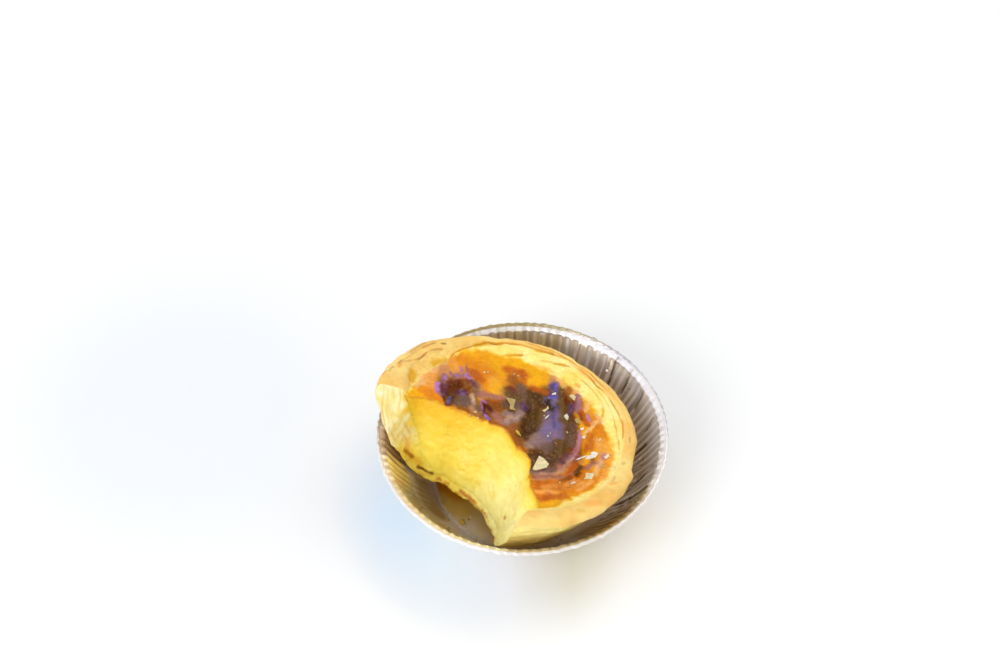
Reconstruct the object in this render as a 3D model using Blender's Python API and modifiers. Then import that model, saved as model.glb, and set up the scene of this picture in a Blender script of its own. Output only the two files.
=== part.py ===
"""An egg custard tart with one bite taken out, leaning in its pleated foil tin.

Row frame: +Z up, the origin on the table at the centre of the tin's flat base. The bite faces -X and -Y.
The pastry shell and the custard share a tilted frame of their own, whose origin is the centre of the
tart's foot. The sizes below are in millimetres and the angles in degrees. MM turns sizes into metres.
"""

import math

import bmesh
import bpy
from mathutils import Vector, noise

MM = 0.001

# The foil tin
RIM_RADIUS = 36.0
FLOOR_RADIUS = 21.5
TIN_HEIGHT = 20.0
FOIL = 0.3
WALL_TOP_RADIUS = 34.6
WALL_BULGE = 0.8
RIM_ROUNDING = 0.7
RIM_HEM = 0.8
FLOOR_MIDDLE = (2.3, 1.1)
PLEATS = 96
PLEAT_DEPTH = 0.38
PLEAT_START = 0.12
PLEAT_UNEVENNESS = 0.5
PLEAT_SHARE_ON_RIM = 0.4
WALL_ROWS = (PLEAT_START, 0.4, 0.7, 1.0)

# The tart, measured along its own axis
FOOT_RADIUS = 20.5
TOP_RADIUS = 32.4
TART_HEIGHT = 22.5
FOOT_ROUNDING = 2.5
SIDE_BULGE = 0.8
SIDE_UNEVENNESS = 0.4
PASTRY_FLOOR = 2.0
PASTRY_WALL = 3.2
INSIDE_BULGE = 0.5
CUSTARD_EDGE_RADIUS = 27.4
CUSTARD_LEVEL = 20.6
GAP = 0.35
SEGMENTS = 96
SIDE_ROWS = (0.0, 0.8, FOOT_ROUNDING, 6.5, 10.5, 14.5, 18.0)
INSIDE_ROWS = (CUSTARD_LEVEL - 1.0, 15.0, 9.0, 4.0, PASTRY_FLOOR)

# The rim's leaves of pastry, from the outer edge in: (radius, height, how much the height varies)
RIM_LEAVES = (
    (32.5, 20.6, 0.15),
    (32.2, 21.9, 0.25),
    (31.3, 22.6, 0.30),
    (30.5, 21.9, 0.45),
    (29.8, 22.4, 0.30),
    (29.1, 21.7, 0.45),
    (28.5, 22.0, 0.25),
    (27.9, 21.2, 0.15),
)

# How the tart leans in the tin, and where its foot's centre is
LEAN_X_DEG = -8.8
LEAN_Y_DEG = 11.9
FOOT_CENTRE = (-8.59, -6.44, 5.64)

# The tart isn't round: it is drawn in beside the bite, and swells a little on one side
DRAWN_IN_SHARE = 0.05
DRAWN_IN_AT_DEG = 222.0
DRAWN_IN_HALF_WIDTH_DEG = 70.0
SWELL = 0.8
SWELL_AT_DEG = 300.0
# Its wall isn't even either: thinner at the back, thicker in front and at the bite's left end
WALL_SHIFT = 1.0
WALL_SHIFT_AT_DEG = 95.0
THICK_SPOT = 2.2
THICK_SPOT_AT_DEG = 160.0
THICK_SPOT_HALF_WIDTH_DEG = 22.0

# The bite: a cone that widens upwards, with a scallop for each tooth
BITE_CENTRE = (-16.0, -18.0)
BITE_RADIUS_LOW = 16.4
BITE_RADIUS_HIGH = 22.5
BITE_CURVE = 0.85
BITE_BELOW = 3.0
BITE_ABOVE = 5.0
BITE_SEGMENTS = 84
BITE_RINGS = 12
CRUMB_RELIEF = 0.4
CRUMB_SIZE = 2.5
# (angle about the bite's centre, extra reach at the foot and at the rim, the height from which the second
# takes over from the first, half width of the scallop in degrees)
TOOTH_MARKS = (
    (124.0, 0.0, 9.5, 16.2, 22.0),
    (102.0, 4.0, 3.6, 0.0, 22.0),
    (78.0, 1.6, 0.2, 0.0, 14.0),
    (48.0, 0.0, 1.7, 0.0, 14.0),
    (22.0, 0.0, 1.2, 0.0, 12.0),
    (4.0, 0.4, -0.9, 0.0, 15.0),
    (-16.0, 0.3, 2.0, 0.0, 13.0),
)

# Relief of the browned skin
# burst bubbles: (x, y, long radius, short radius, turn, lip height, hollow depth)
BLISTERS = (
    (-12.2, 12.9, 6.0, 3.2, 45.0, 1.0, 0.9),
    (-1.8, 5.6, 4.4, 3.6, 20.0, 0.5, 0.9),
)
# pillows: (x, y, radius, height)
PILLOWS = (
    (3.0, 3.0, 5.8, 0.9),
    (12.6, 5.0, 8.4, 1.5),
    (10.5, -5.0, 6.5, 0.7),
    (-3.0, 17.5, 7.0, 0.8),
    (9.5, 19.5, 5.8, 0.6),
    (-18.0, 17.0, 5.2, 0.5),
)
# folds that run as arcs about a point: (x, y, radius, first angle, last angle, half width, height)
FOLDS = (
    (0.5, 0.5, 18.6, -74.0, 28.0, 2.3, 1.0),
    (0.5, 0.5, 20.6, -70.0, 20.0, 1.6, -0.7),
    (0.5, 0.5, 23.0, -68.0, 0.0, 2.3, 0.7),
    (-9.5, 4.5, 16.6, -35.0, 36.0, 2.2, -1.3),
)
FOLD_FADE_DEG = 12.0
# finer unevenness of the skin: (size, height)
SKIN_WAVES = ((6.0, 0.5), (2.5, 0.3))
SKIN_RINGS = 15
SKIN_FADE_FROM = 1.2
SKIN_FADE_WIDTH = 4.0
# flakes of pastry that have fallen on the skin: (x, y, length, width, turn)
FLAKES = (
    (8.5, -10.5, 3.8, 3.2, 20.0),
    (20.4, -6.5, 5.2, 1.6, 15.0),
    (1.7, 8.7, 2.6, 1.8, -60.0),
    (20.4, -12.7, 2.6, 1.9, 30.0),
    (18.6, 6.0, 2.1, 1.4, -50.0),
    (15.6, 6.1, 2.0, 1.4, 80.0),
    (17.9, 14.6, 2.2, 1.5, -35.0),
    (10.7, 8.3, 2.0, 1.1, 35.0),
    (25.0, -5.6, 1.7, 1.2, 50.0),
)
FLAKE_THICKNESS = 0.9
FLAKE_CORNERS = 5
FLAKE_TAPER = 0.7


def clamp(value, low=0.0, high=1.0):
    return max(low, min(high, value))


def bump(distance, half_width):
    """1 at no distance, falling smoothly to 0 at half_width."""
    share = clamp(abs(distance) / half_width)
    return 1.0 - share * share * (3.0 - 2.0 * share)


def turn_between(degrees, middle):
    """How far an angle is from another one, from 0 to 180 degrees."""
    return abs((degrees - middle + 180.0) % 360.0 - 180.0)


def waves_round(around, per_turn, seed):
    """A smooth unevenness from -1 to 1 that runs round the tart without a seam."""
    return noise.noise(around * per_turn + Vector((0.0, 0.0, seed)))


def material(name, colour, roughness, metallic=0.0):
    made = bpy.data.materials.new(name)
    made.use_nodes = True
    shader = made.node_tree.nodes["Principled BSDF"]
    shader.inputs["Base Color"].default_value = (*colour, 1.0)
    shader.inputs["Roughness"].default_value = roughness
    shader.inputs["Metallic"].default_value = metallic
    return made


def collection(name):
    made = bpy.data.collections.new(name)
    bpy.context.scene.collection.children.link(made)
    return made


def object_from(bm, name, into, parent=None, finish=None):
    mesh = bpy.data.meshes.new(name)
    bm.to_mesh(mesh)
    bm.free()
    made = bpy.data.objects.new(name, mesh)
    made.parent = parent
    into.objects.link(made)
    if finish:
        mesh.materials.append(finish)
    return made


def spun(profile, segments):
    """A bmesh turned from a profile of (radius, height) points that runs up the outside."""
    bm = bmesh.new()
    points = [bm.verts.new((radius * MM, 0.0, height * MM)) for radius, height in profile]
    edges = [bm.edges.new(pair) for pair in zip(points, points[1:])]
    bmesh.ops.spin(bm, geom=points + edges, cent=(0, 0, 0), axis=(0, 0, 1), angle=math.tau,
                   steps=segments, use_merge=True)
    bmesh.ops.remove_doubles(bm, verts=bm.verts, dist=0.01 * MM)
    return bm


def cap_open_ends(bm):
    """Closes each open ring with one flat face, and turns all faces outwards."""
    bmesh.ops.holes_fill(bm, edges=[e for e in bm.edges if e.is_boundary], sides=0)
    bmesh.ops.recalc_face_normals(bm, faces=bm.faces)


def tin_profile():
    """The foil's inner face: up from the edge of the floor, over the rim and down its rolled hem."""
    rows = [(FLOOR_RADIUS, FOIL)]
    for share in WALL_ROWS:
        radius = FLOOR_RADIUS + (WALL_TOP_RADIUS - FLOOR_RADIUS) * share
        height = FOIL + (TIN_HEIGHT - RIM_ROUNDING - FOIL) * share
        rows.append((radius + WALL_BULGE * math.sin(math.pi * share), height))
    crest = (WALL_TOP_RADIUS + RIM_RADIUS) / 2.0
    rows += [(crest - 0.2, TIN_HEIGHT), (crest + 0.4, TIN_HEIGHT), (RIM_RADIUS, TIN_HEIGHT - RIM_HEM)]
    return rows


def pleat(vertex):
    """Moves one point of the tin's wall in or out, as the folds do, less and less towards the floor."""
    height = vertex.co.z / MM
    share = clamp((height / TIN_HEIGHT - PLEAT_START) / (1.0 - PLEAT_START))
    if share <= 0.0:
        return
    column = round(math.atan2(vertex.co.y, vertex.co.x) / math.tau * PLEATS * 2)
    side = 1.0 if column % 2 else -1.0
    uneven = 1.0 + PLEAT_UNEVENNESS * noise.noise(Vector((column * 0.37, 4.0, 0.0)))
    on_rim = PLEAT_SHARE_ON_RIM if height > TIN_HEIGHT - 0.5 else 1.0
    outward = Vector((vertex.co.x, vertex.co.y, 0.0)).normalized()
    vertex.co += outward * side * PLEAT_DEPTH * 0.5 * MM * uneven * on_rim * math.sqrt(share)


def foil_tin(into, finish):
    bm = spun(tin_profile(), PLEATS * 2)
    for vertex in bm.verts:
        pleat(vertex)
    floor_edge = [e for e in bm.edges if e.is_boundary and e.verts[0].co.z < 1.0 * MM]
    bmesh.ops.holes_fill(bm, edges=floor_edge, sides=0)
    bmesh.ops.recalc_face_normals(bm, faces=bm.faces)
    floor = min(bm.faces, key=lambda f: f.calc_center_median().z)
    if floor.normal.z < 0.0:
        bmesh.ops.reverse_faces(bm, faces=bm.faces)
    # One even fan of triangles for the floor, its middle point set beside the foot mount
    middle = bmesh.ops.poke(bm, faces=[floor])["verts"][0]
    middle.co.x, middle.co.y = FLOOR_MIDDLE[0] * MM, FLOOR_MIDDLE[1] * MM
    tin = object_from(bm, "foil_tin", into, finish=finish)
    wall = tin.modifiers.new("thickness", "SOLIDIFY")
    wall.thickness = FOIL * MM
    wall.offset = -1.0
    wall.use_even_offset = False
    return tin


def side_radius(height):
    """The pastry's outer radius at a height above the tart's foot."""
    share = height / TART_HEIGHT
    radius = FOOT_RADIUS + (TOP_RADIUS - FOOT_RADIUS) * share + SIDE_BULGE * math.sin(math.pi * share)
    if height < FOOT_ROUNDING:
        radius -= FOOT_ROUNDING - math.sqrt(FOOT_ROUNDING ** 2 - (FOOT_ROUNDING - height) ** 2)
    return radius


def inside_radius(height):
    """The pastry's inner radius at a height, where the custard begins."""
    low = FOOT_RADIUS - PASTRY_WALL
    share = clamp((height - PASTRY_FLOOR) / (CUSTARD_LEVEL - PASTRY_FLOOR))
    return low + (CUSTARD_EDGE_RADIUS - low) * share + INSIDE_BULGE * math.sin(math.pi * share)


def wall_shift(degrees):
    """How far the pastry's inner face lies outside its plain circle in this direction."""
    even = WALL_SHIFT * math.cos(math.radians(degrees - WALL_SHIFT_AT_DEG))
    return even - THICK_SPOT * bump(turn_between(degrees, THICK_SPOT_AT_DEG), THICK_SPOT_HALF_WIDTH_DEG)


def out_of_round(bm):
    """Makes the wall uneven, draws the tart in beside the bite and swells it on the other side."""
    for vertex in bm.verts:
        degrees = math.degrees(math.atan2(vertex.co.y, vertex.co.x))
        height, radius = vertex.co.z / MM, math.hypot(vertex.co.x, vertex.co.y) / MM
        inside = clamp((side_radius(clamp(height, 0.0, TART_HEIGHT)) - radius) / PASTRY_WALL)
        factor = 1.0
        if radius > 1.0:
            share = clamp(radius / inside_radius(height)) * inside
            factor += wall_shift(degrees) * share / radius
        drawn = math.sqrt(clamp(1.0 - turn_between(degrees, DRAWN_IN_AT_DEG) / DRAWN_IN_HALF_WIDTH_DEG))
        swell = clamp(math.cos(math.radians(degrees - SWELL_AT_DEG))) ** 2
        factor *= 1.0 - DRAWN_IN_SHARE * drawn + SWELL / TOP_RADIUS * swell
        vertex.co.x *= factor
        vertex.co.y *= factor


def roughen_pastry(vertex, height_variation):
    """Gives the rim's leaves their ups and downs and the side its slight unevenness."""
    height = vertex.co.z / MM
    around = Vector((vertex.co.x, vertex.co.y, 0.0))
    radius = around.length / MM
    around.normalize()
    amount = height_variation.get(round(height, 3), 0.0)
    if amount:
        lift = 1.6 * waves_round(around, 2.2, height * 3.0) + 1.2 * waves_round(around, 9.0, height * 5.0)
        vertex.co.z += amount * MM * lift
        vertex.co += around * amount * MM * 1.4 * waves_round(around, 4.0, height + 7.0)
    elif FOOT_ROUNDING < height < CUSTARD_LEVEL and radius > side_radius(height) - 0.1:
        vertex.co += around * SIDE_UNEVENNESS * MM * waves_round(around, 5.0, height * 0.5)


def pastry_shell(into, parent, finish):
    rows = [(side_radius(height), height) for height in SIDE_ROWS]
    rows += [(radius, height) for radius, height, _ in RIM_LEAVES]
    rows += [(inside_radius(height), height) for height in INSIDE_ROWS]
    bm = spun(rows, SEGMENTS)
    height_variation = {round(height, 3): amount for _, height, amount in RIM_LEAVES}
    for vertex in bm.verts:
        roughen_pastry(vertex, height_variation)
    cap_open_ends(bm)
    out_of_round(bm)
    return object_from(bm, "pastry_shell", into, parent, finish)


def blister_height(x, y, blister):
    cx, cy, long_radius, short_radius, turn, lip, hollow = blister
    angle = math.radians(turn)
    along = ((x - cx) * math.cos(angle) + (y - cy) * math.sin(angle)) / long_radius
    across = ((y - cy) * math.cos(angle) - (x - cx) * math.sin(angle)) / short_radius
    distance = math.hypot(along, across)
    return lip * bump(distance - 1.0, 0.55) - hollow * bump(distance, 0.9)


def fold_height(x, y, fold):
    cx, cy, radius, first, last, half_width, height = fold
    degrees = math.degrees(math.atan2(y - cy, x - cx))
    middle, half_turn = (first + last) / 2.0, (last - first) / 2.0
    fade = clamp((half_turn - turn_between(degrees, middle)) / FOLD_FADE_DEG)
    return height * fade * bump(math.hypot(x - cx, y - cy) - radius, half_width)


def skin_height(x, y):
    """How far the browned skin stands above the custard's level."""
    total = sum(blister_height(x, y, blister) for blister in BLISTERS)
    total += sum(height * bump(math.hypot(x - cx, y - cy), size) for cx, cy, size, height in PILLOWS)
    total += sum(fold_height(x, y, fold) for fold in FOLDS)
    total += sum(height * noise.noise(Vector((x / size, y / size, size))) for size, height in SKIN_WAVES)
    edge = CUSTARD_EDGE_RADIUS - SKIN_FADE_FROM
    return total * clamp((edge - math.hypot(x, y)) / SKIN_FADE_WIDTH)


def custard(into, parent, finish):
    heights = (PASTRY_FLOOR + GAP,) + tuple(reversed(INSIDE_ROWS[:-1]))
    side = [(inside_radius(height) - GAP, height) for height in heights]
    edge = CUSTARD_EDGE_RADIUS - GAP - 0.1
    top = [(edge * (1.0 - ring / SKIN_RINGS), CUSTARD_LEVEL) for ring in range(SKIN_RINGS)]
    bm = spun(side + top, SEGMENTS)
    cap_open_ends(bm)
    centre = max(bm.faces, key=lambda f: (round(f.calc_center_median().z, 6), len(f.verts)))
    bmesh.ops.poke(bm, faces=[centre])
    for vertex in bm.verts:
        if vertex.co.z > (CUSTARD_LEVEL - 0.5) * MM:
            vertex.co.z += skin_height(vertex.co.x / MM, vertex.co.y / MM) * MM
    out_of_round(bm)
    return object_from(bm, "custard", into, parent, finish)


def flakes(into, parent):
    """A low wedge of pastry for each flake, half sunk in the skin."""
    for x, y, length, width, turn in FLAKES:
        bm = bmesh.new()
        bmesh.ops.create_cone(bm, cap_ends=True, segments=FLAKE_CORNERS, radius1=0.5,
                              radius2=0.5 * FLAKE_TAPER, depth=1.0)
        flake = object_from(bm, "flake", into, parent)
        flake.scale = (length * MM, width * MM, FLAKE_THICKNESS * MM)
        flake.rotation_euler.z = math.radians(turn)
        flake.location = (x * MM, y * MM, (CUSTARD_LEVEL + skin_height(x, y) + FLAKE_THICKNESS * 0.2) * MM)


def join(piece, toppings):
    """Fuses a collection's objects onto a piece, and removes them."""
    union = piece.modifiers.new("flakes", "BOOLEAN")
    union.operation = "UNION"
    union.operand_type = "COLLECTION"
    union.collection = toppings
    union.solver = "EXACT"
    evaluated = piece.evaluated_get(bpy.context.evaluated_depsgraph_get())
    joined = bpy.data.meshes.new_from_object(evaluated)
    piece.modifiers.clear()
    piece.data = joined
    for topping in list(toppings.objects):
        bpy.data.objects.remove(topping, do_unlink=True)
    bpy.data.collections.remove(toppings)


def bite_radius(degrees, height):
    """How far the bite reaches from its axis in this direction and at this height."""
    share = clamp(height / CUSTARD_LEVEL) ** BITE_CURVE
    radius = BITE_RADIUS_LOW + (BITE_RADIUS_HIGH - BITE_RADIUS_LOW) * share
    for at, low, high, start, half_width in TOOTH_MARKS:
        rise = clamp((height - start) / (TART_HEIGHT - start))
        radius += (low + (high - low) * rise) * bump(turn_between(degrees, at), half_width)
    way = Vector((math.cos(math.radians(degrees)), math.sin(math.radians(degrees)), 0.0))
    spot = way * BITE_RADIUS_HIGH / (CRUMB_SIZE * 1.3) + Vector((0.0, 0.0, height / CRUMB_SIZE))
    return radius + CRUMB_RELIEF * (1.4 * noise.noise(spot) + noise.noise(spot * 2.3))


def bite(into, parent):
    """The cutter, from under the tart to above it, with tooth marks and torn crumb."""
    bm = bmesh.new()
    low, high = -BITE_BELOW, TART_HEIGHT + BITE_ABOVE
    bmesh.ops.create_cone(bm, cap_ends=True, segments=BITE_SEGMENTS, radius1=MM, radius2=MM,
                          depth=(high - low) * MM)
    uprights = [e for e in bm.edges if abs(e.verts[0].co.z - e.verts[1].co.z) > MM]
    bmesh.ops.subdivide_edges(bm, edges=uprights, cuts=BITE_RINGS - 1, use_grid_fill=True)
    for vertex in bm.verts:
        height = vertex.co.z / MM + (high + low) / 2.0
        angle = math.atan2(vertex.co.y, vertex.co.x)
        radius = bite_radius(math.degrees(angle), height)
        vertex.co.x = (BITE_CENTRE[0] + radius * math.cos(angle)) * MM
        vertex.co.y = (BITE_CENTRE[1] + radius * math.sin(angle)) * MM
        vertex.co.z = height * MM
    bmesh.ops.recalc_face_normals(bm, faces=bm.faces)
    cutter = object_from(bm, "bite", into, parent)
    cutter.hide_render = True
    cutter.display_type = "WIRE"
    return cutter


def cut(piece, cutter):
    away = piece.modifiers.new("bite", "BOOLEAN")
    away.operation = "DIFFERENCE"
    away.object = cutter
    away.solver = "EXACT"


def main():
    for old in list(bpy.data.objects):
        bpy.data.objects.remove(old, do_unlink=True)
    parts, cutters, toppings = collection("custard_tart"), collection("cutters"), collection("toppings")
    pose = bpy.data.objects.new("tart_pose", None)
    pose.location = [value * MM for value in FOOT_CENTRE]
    pose.rotation_euler = (math.radians(LEAN_X_DEG), math.radians(LEAN_Y_DEG), 0.0)
    parts.objects.link(pose)
    foil_tin(parts, material("foil", (0.80, 0.79, 0.77), 0.28, 1.0))
    shell = pastry_shell(parts, pose, material("pastry", (0.80, 0.52, 0.22), 0.65))
    filling = custard(parts, pose, material("custard", (0.90, 0.62, 0.10), 0.35))
    flakes(toppings, pose)
    join(filling, toppings)
    cutter = bite(cutters, pose)
    cut(shell, cutter)
    cut(filling, cutter)


main()
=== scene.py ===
"""Dresses the egg custard tart and its foil tin: foil, pastry leaves, custard, scorched skin, flakes, crumbs.

Everything stands in the row frame: +Z up, the origin on the table under the middle of the tin's floor. The
pastry and the custard are shaped in the tart's own frame, in millimetres, and then leaned into the tin.
Angles are in degrees. A height called share runs from 0 at the foot to 1 at the top of the tin's wall.
"""

import math

import bmesh
import bpy
import numpy as np
from mathutils import Euler, Matrix, Vector, noise


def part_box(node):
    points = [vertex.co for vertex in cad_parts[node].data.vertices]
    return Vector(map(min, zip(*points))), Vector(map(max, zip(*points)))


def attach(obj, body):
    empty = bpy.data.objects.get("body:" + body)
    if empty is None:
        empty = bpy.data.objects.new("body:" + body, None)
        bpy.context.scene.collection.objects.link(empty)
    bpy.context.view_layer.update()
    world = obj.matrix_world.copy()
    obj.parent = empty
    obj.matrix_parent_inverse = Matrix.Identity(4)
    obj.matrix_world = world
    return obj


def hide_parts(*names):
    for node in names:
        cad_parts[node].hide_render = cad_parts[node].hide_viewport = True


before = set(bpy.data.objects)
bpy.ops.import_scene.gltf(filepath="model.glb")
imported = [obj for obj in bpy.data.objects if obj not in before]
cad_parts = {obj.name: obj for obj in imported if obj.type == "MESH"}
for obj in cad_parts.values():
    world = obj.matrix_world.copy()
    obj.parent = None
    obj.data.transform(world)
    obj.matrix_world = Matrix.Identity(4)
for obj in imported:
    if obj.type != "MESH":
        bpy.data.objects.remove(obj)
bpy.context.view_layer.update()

MM = 0.001
SEED = 20

# Camera, fitted to the tin's rim
LENS_MM = 64.8
SENSOR_MM = 36.0
CAMERA_PLACE = (-0.0055474, -0.27102, 0.373168)
CAMERA_DOWN = 49.387

# The tin's painted shade on the table before it, cool on the left to warm on the right, and a painted grey
# shadow far left
SHADE_NEAR = 0.032
SHADE_FAR = 0.050
SHADE_FULL_Y = -0.012
SHADE_END_Y = 0.022
SHADE_LEFT = -0.036
SHADE_RIGHT = 0.024
FAR_SHADOW_AT = (-0.090, 0.022, 0.0)
FAR_SHADOW_NEAR = 0.025
FAR_SHADOW_FAR = 0.075

# The foil tin
TIN_LOW, TIN_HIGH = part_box("foil_tin")
TIN_HEIGHT = TIN_HIGH.z / MM
FOIL = 0.3
FLOOR_RADIUS = 21.5
WALL_TOP_RADIUS = 33.9
WALL_BULGE = 1.0
WALL_TOP = TIN_HEIGHT - 1.35
# its rim, from the wall's top up a sloping flare and round the curled hem: (radius, how far below the top)
FOIL_RIM = (
    (33.93, 1.20),
    (34.35, 0.82),
    (34.85, 0.52),
    (35.20, 0.34),
    (35.40, 0.08),
    (35.62, 0.00),
    (35.86, 0.10),
    (35.99, 0.42),
    (35.97, 0.85),
    (35.76, 1.12),
    (35.48, 1.10),
    (35.30, 0.88),
)
RIM_SHARE_OF_PLEATS = 0.5
RIM_RIBS = 0.035
RIM_TEETH = 0.10
HEM_FROM = 35.3
WHITE_FROM = 34.7
PLEATS = 96
PLEAT_COLUMNS = 7
PLEAT_DEPTH = 0.45
# where the pleats are pressed flat: (angle, share, half width in degrees, half height, how much)
PRESSED = (
    (205.0, 0.35, 24.0, 0.55, 0.85),
    (245.0, 0.40, 28.0, 0.6, 0.75),
)
# the wall laid out flat for its strokes, which run from the front over the right and the back to the left
WALL_MM_PER_DEGREE = 0.55
WALL_MM = 22.0
STROKES_FROM = -85.0
# the sides of the wall that mirror something of their own: (angle of the middle, half width)
BACK_RIGHT = (62.0, 75.0)
RIGHT = (0.0, 70.0)
LEFT = (222.0, 50.0)
# the painted highlight along the pressed line round the floor's edge
FOOT_LINE_HALF_TURN = 26.0
# a film of butter on the floor, whose brown is also a painted reflection of the tart's shaded underside
BUTTER_AND_REFLECTION_FILM = 0.3
# the curled hem's dull band of painted shade and dark reflection: (angle, where its dull band begins, how
# strong, its colour)
HEM_SHADE = (
    (-60.0, 36.3, 0.0, (230.0, 228.0, 224.0)),
    (-20.0, 35.9, 0.2, (222.0, 224.0, 232.0)),
    (0.0, 35.6, 0.8, (178.0, 180.0, 200.0)),
    (15.0, 35.5, 0.9, (166.0, 164.0, 172.0)),
    (30.0, 35.3, 0.9, (200.0, 199.0, 206.0)),
    (45.0, 35.1, 0.95, (184.0, 180.0, 190.0)),
    (60.0, 35.0, 1.0, (176.0, 166.0, 142.0)),
    (90.0, 34.8, 1.0, (170.0, 150.0, 98.0)),
    (115.0, 34.9, 1.0, (174.0, 150.0, 100.0)),
    (175.0, 35.1, 0.7, (160.0, 140.0, 104.0)),
    (190.0, 35.9, 0.2, (222.0, 228.0, 238.0)),
    (300.0, 36.3, 0.0, (230.0, 228.0, 224.0)),
)
# creases pressed into the wall: (angle and share at one end, the same at the other, half width, depth)
WALL_CREASES = (
    (46.0, 1.0, 43.5, 0.60, 0.35, 0.55),
    (35.5, 1.0, 34.5, 0.58, 0.35, 0.60),
    (52.0, 0.95, 51.0, 0.45, 0.30, 0.30),
    (348.0, 0.60, 335.0, 0.12, 0.5, 0.55),
    (351.0, 0.75, 356.0, 0.10, 0.45, 0.40),
    (335.0, 0.66, 315.0, 0.05, 0.5, 0.50),
    (325.0, 0.90, 332.0, 0.40, 0.4, 0.35),
    (200.0, 0.55, 218.0, 0.12, 0.4, 0.35),
    (192.0, 0.75, 204.0, 0.30, 0.4, 0.30),
)
# dents: (angle, share, half width in degrees, half height, how far out)
WALL_DENTS = (
    (29.0, 0.84, 7.0, 0.20, 0.55),
    (18.0, 0.50, 12.0, 0.35, -0.40),
    (345.0, 0.45, 10.0, 0.30, 0.45),
    (320.0, 0.60, 9.0, 0.30, -0.35),
    (205.0, 0.40, 12.0, 0.30, 0.35),
    (140.0, 0.60, 9.0, 0.30, -0.30),
    (270.0, 0.55, 11.0, 0.35, 0.30),
)

# The foil's painted reflections, highlights and crease shade in soft strokes:
# (colour, from angle, share, to angle, share, half width, strength)
FOIL_STROKES = (
    # painted reflections of what it mirrors: warm at the back, grey on the right, brown in front of the tart
    # and on the left
    ("brass_reflection", 112.0, 0.95, 76.0, 0.90, 5.0, 0.6),
    ("pewter_reflection", 26.0, 0.60, -12.0, 0.50, 8.0, 0.8),
    ("brass_reflection", -34.0, 0.90, -44.0, 0.30, 6.0, 0.7),
    ("bronze_reflection", -46.0, 0.90, -50.0, 0.20, 6.0, 0.9),
    ("bronze_reflection", -56.0, 0.90, -80.0, 0.50, 8.0, 0.9),
    ("brass_reflection", 184.0, 0.70, 236.0, 0.60, 9.0, 0.9),
    ("bronze_reflection", 184.0, 0.30, 214.0, 0.25, 5.0, 0.8),
    ("brass_reflection", 240.0, 0.60, 262.0, 0.50, 8.0, 0.6),
    # painted highlights on bright folds and the dent at the back right
    ("pearl_highlight", 65.0, 1.00, 65.0, 0.90, 0.40, 0.7),
    ("pearl_highlight", 60.0, 1.00, 60.0, 0.78, 0.45, 0.9),
    ("pearl_highlight", 57.0, 1.00, 57.2, 0.86, 0.35, 0.6),
    ("pearl_highlight", 54.0, 1.00, 54.0, 0.90, 0.35, 0.7),
    ("pearl_highlight", 50.0, 1.00, 49.6, 0.82, 0.45, 0.9),
    ("pearl_highlight", 48.2, 1.00, 48.0, 0.86, 0.35, 0.8),
    ("pearl_highlight", 43.0, 1.00, 42.4, 0.78, 0.45, 0.8),
    ("pearl_highlight", 38.4, 1.00, 38.0, 0.84, 0.60, 0.8),
    ("pearl_highlight", 33.0, 0.94, 28.0, 0.88, 1.80, 0.75),
    ("pearl_highlight", 27.0, 0.96, 25.0, 0.90, 0.90, 0.6),
    ("pearl_highlight", 21.5, 0.98, 20.5, 0.92, 0.60, 0.5),
    # painted shade in the dark creases
    ("lead_crease_shade", 44.6, 1.00, 43.8, 0.66, 0.40, 0.95),
    ("lead_crease_shade", 35.6, 1.00, 35.0, 0.70, 0.45, 0.95),
    ("lead_crease_shade", 24.0, 0.96, 23.0, 0.74, 0.60, 0.7),
    ("lead_crease_shade", 11.0, 0.95, 9.5, 0.70, 0.30, 0.6),
    ("lead_crease_shade", 2.6, 0.70, 1.6, 0.46, 0.70, 0.8),
    ("lead_crease_shade", -13.6, 0.88, -18.0, 0.36, 0.55, 0.85),
    ("lead_crease_shade", -26.6, 0.98, -27.6, 0.30, 0.55, 0.85),
    ("lead_crease_shade", -16.0, 0.50, -25.0, 0.30, 0.60, 0.6),
    ("lead_crease_shade", -40.0, 0.95, -38.0, 0.60, 0.50, 0.6),
    # painted light scraps between them
    ("pewter_reflection", -19.4, 0.92, -22.6, 0.72, 1.40, 0.9),
    ("pearl_highlight", -20.0, 0.86, -22.0, 0.76, 0.70, 0.5),
    ("pewter_reflection", -31.0, 0.86, -34.0, 0.50, 1.60, 0.7),
    ("brass_reflection", -56.0, 0.70, -58.0, 0.30, 1.20, 0.7),
    # painted highlights, reflections and shade on the slanting folds on the left
    ("blush_reflection", 204.0, 0.98, 200.0, 0.74, 0.50, 0.7),
    ("pearl_highlight", 212.0, 0.98, 206.0, 0.62, 0.45, 0.6),
    ("blush_reflection", 219.0, 0.98, 211.0, 0.62, 0.50, 0.7),
    ("lead_crease_shade", 222.0, 0.96, 212.0, 0.50, 0.35, 0.5),
    ("pearl_highlight", 226.0, 0.98, 219.0, 0.56, 0.50, 0.6),
    ("blush_reflection", 236.0, 0.98, 224.0, 0.36, 0.55, 0.8),
    ("lead_crease_shade", 240.0, 0.90, 226.0, 0.30, 0.35, 0.5),
    ("pearl_highlight", 243.0, 0.98, 232.0, 0.40, 0.45, 0.6),
    ("blush_reflection", 253.0, 0.98, 241.0, 0.14, 0.60, 0.9),
    ("pearl_highlight", 205.0, 0.46, 198.0, 0.52, 0.40, 0.5),
    # a painted highlight on the pressed line where the wall meets the floor
    ("pearl_highlight", 199.0, 0.03, 246.0, 0.03, 0.42, 0.9),
)
# and on its floor, where butter and crumbs lie, the brown and orange also a painted reflection of the tart's
# shaded underside:
# (colour, from x, y, to x, y, half width, strength)
FLOOR_STROKES = (
    ("butter", -22.0, -4.0, -15.0, -9.0, 6.0, 0.9),
    ("toast", -21.0, -1.0, -15.5, -4.5, 4.0, 0.95),
    ("butter", -10.0, -9.0, -8.0, -14.0, 5.0, 0.5),
)

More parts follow.
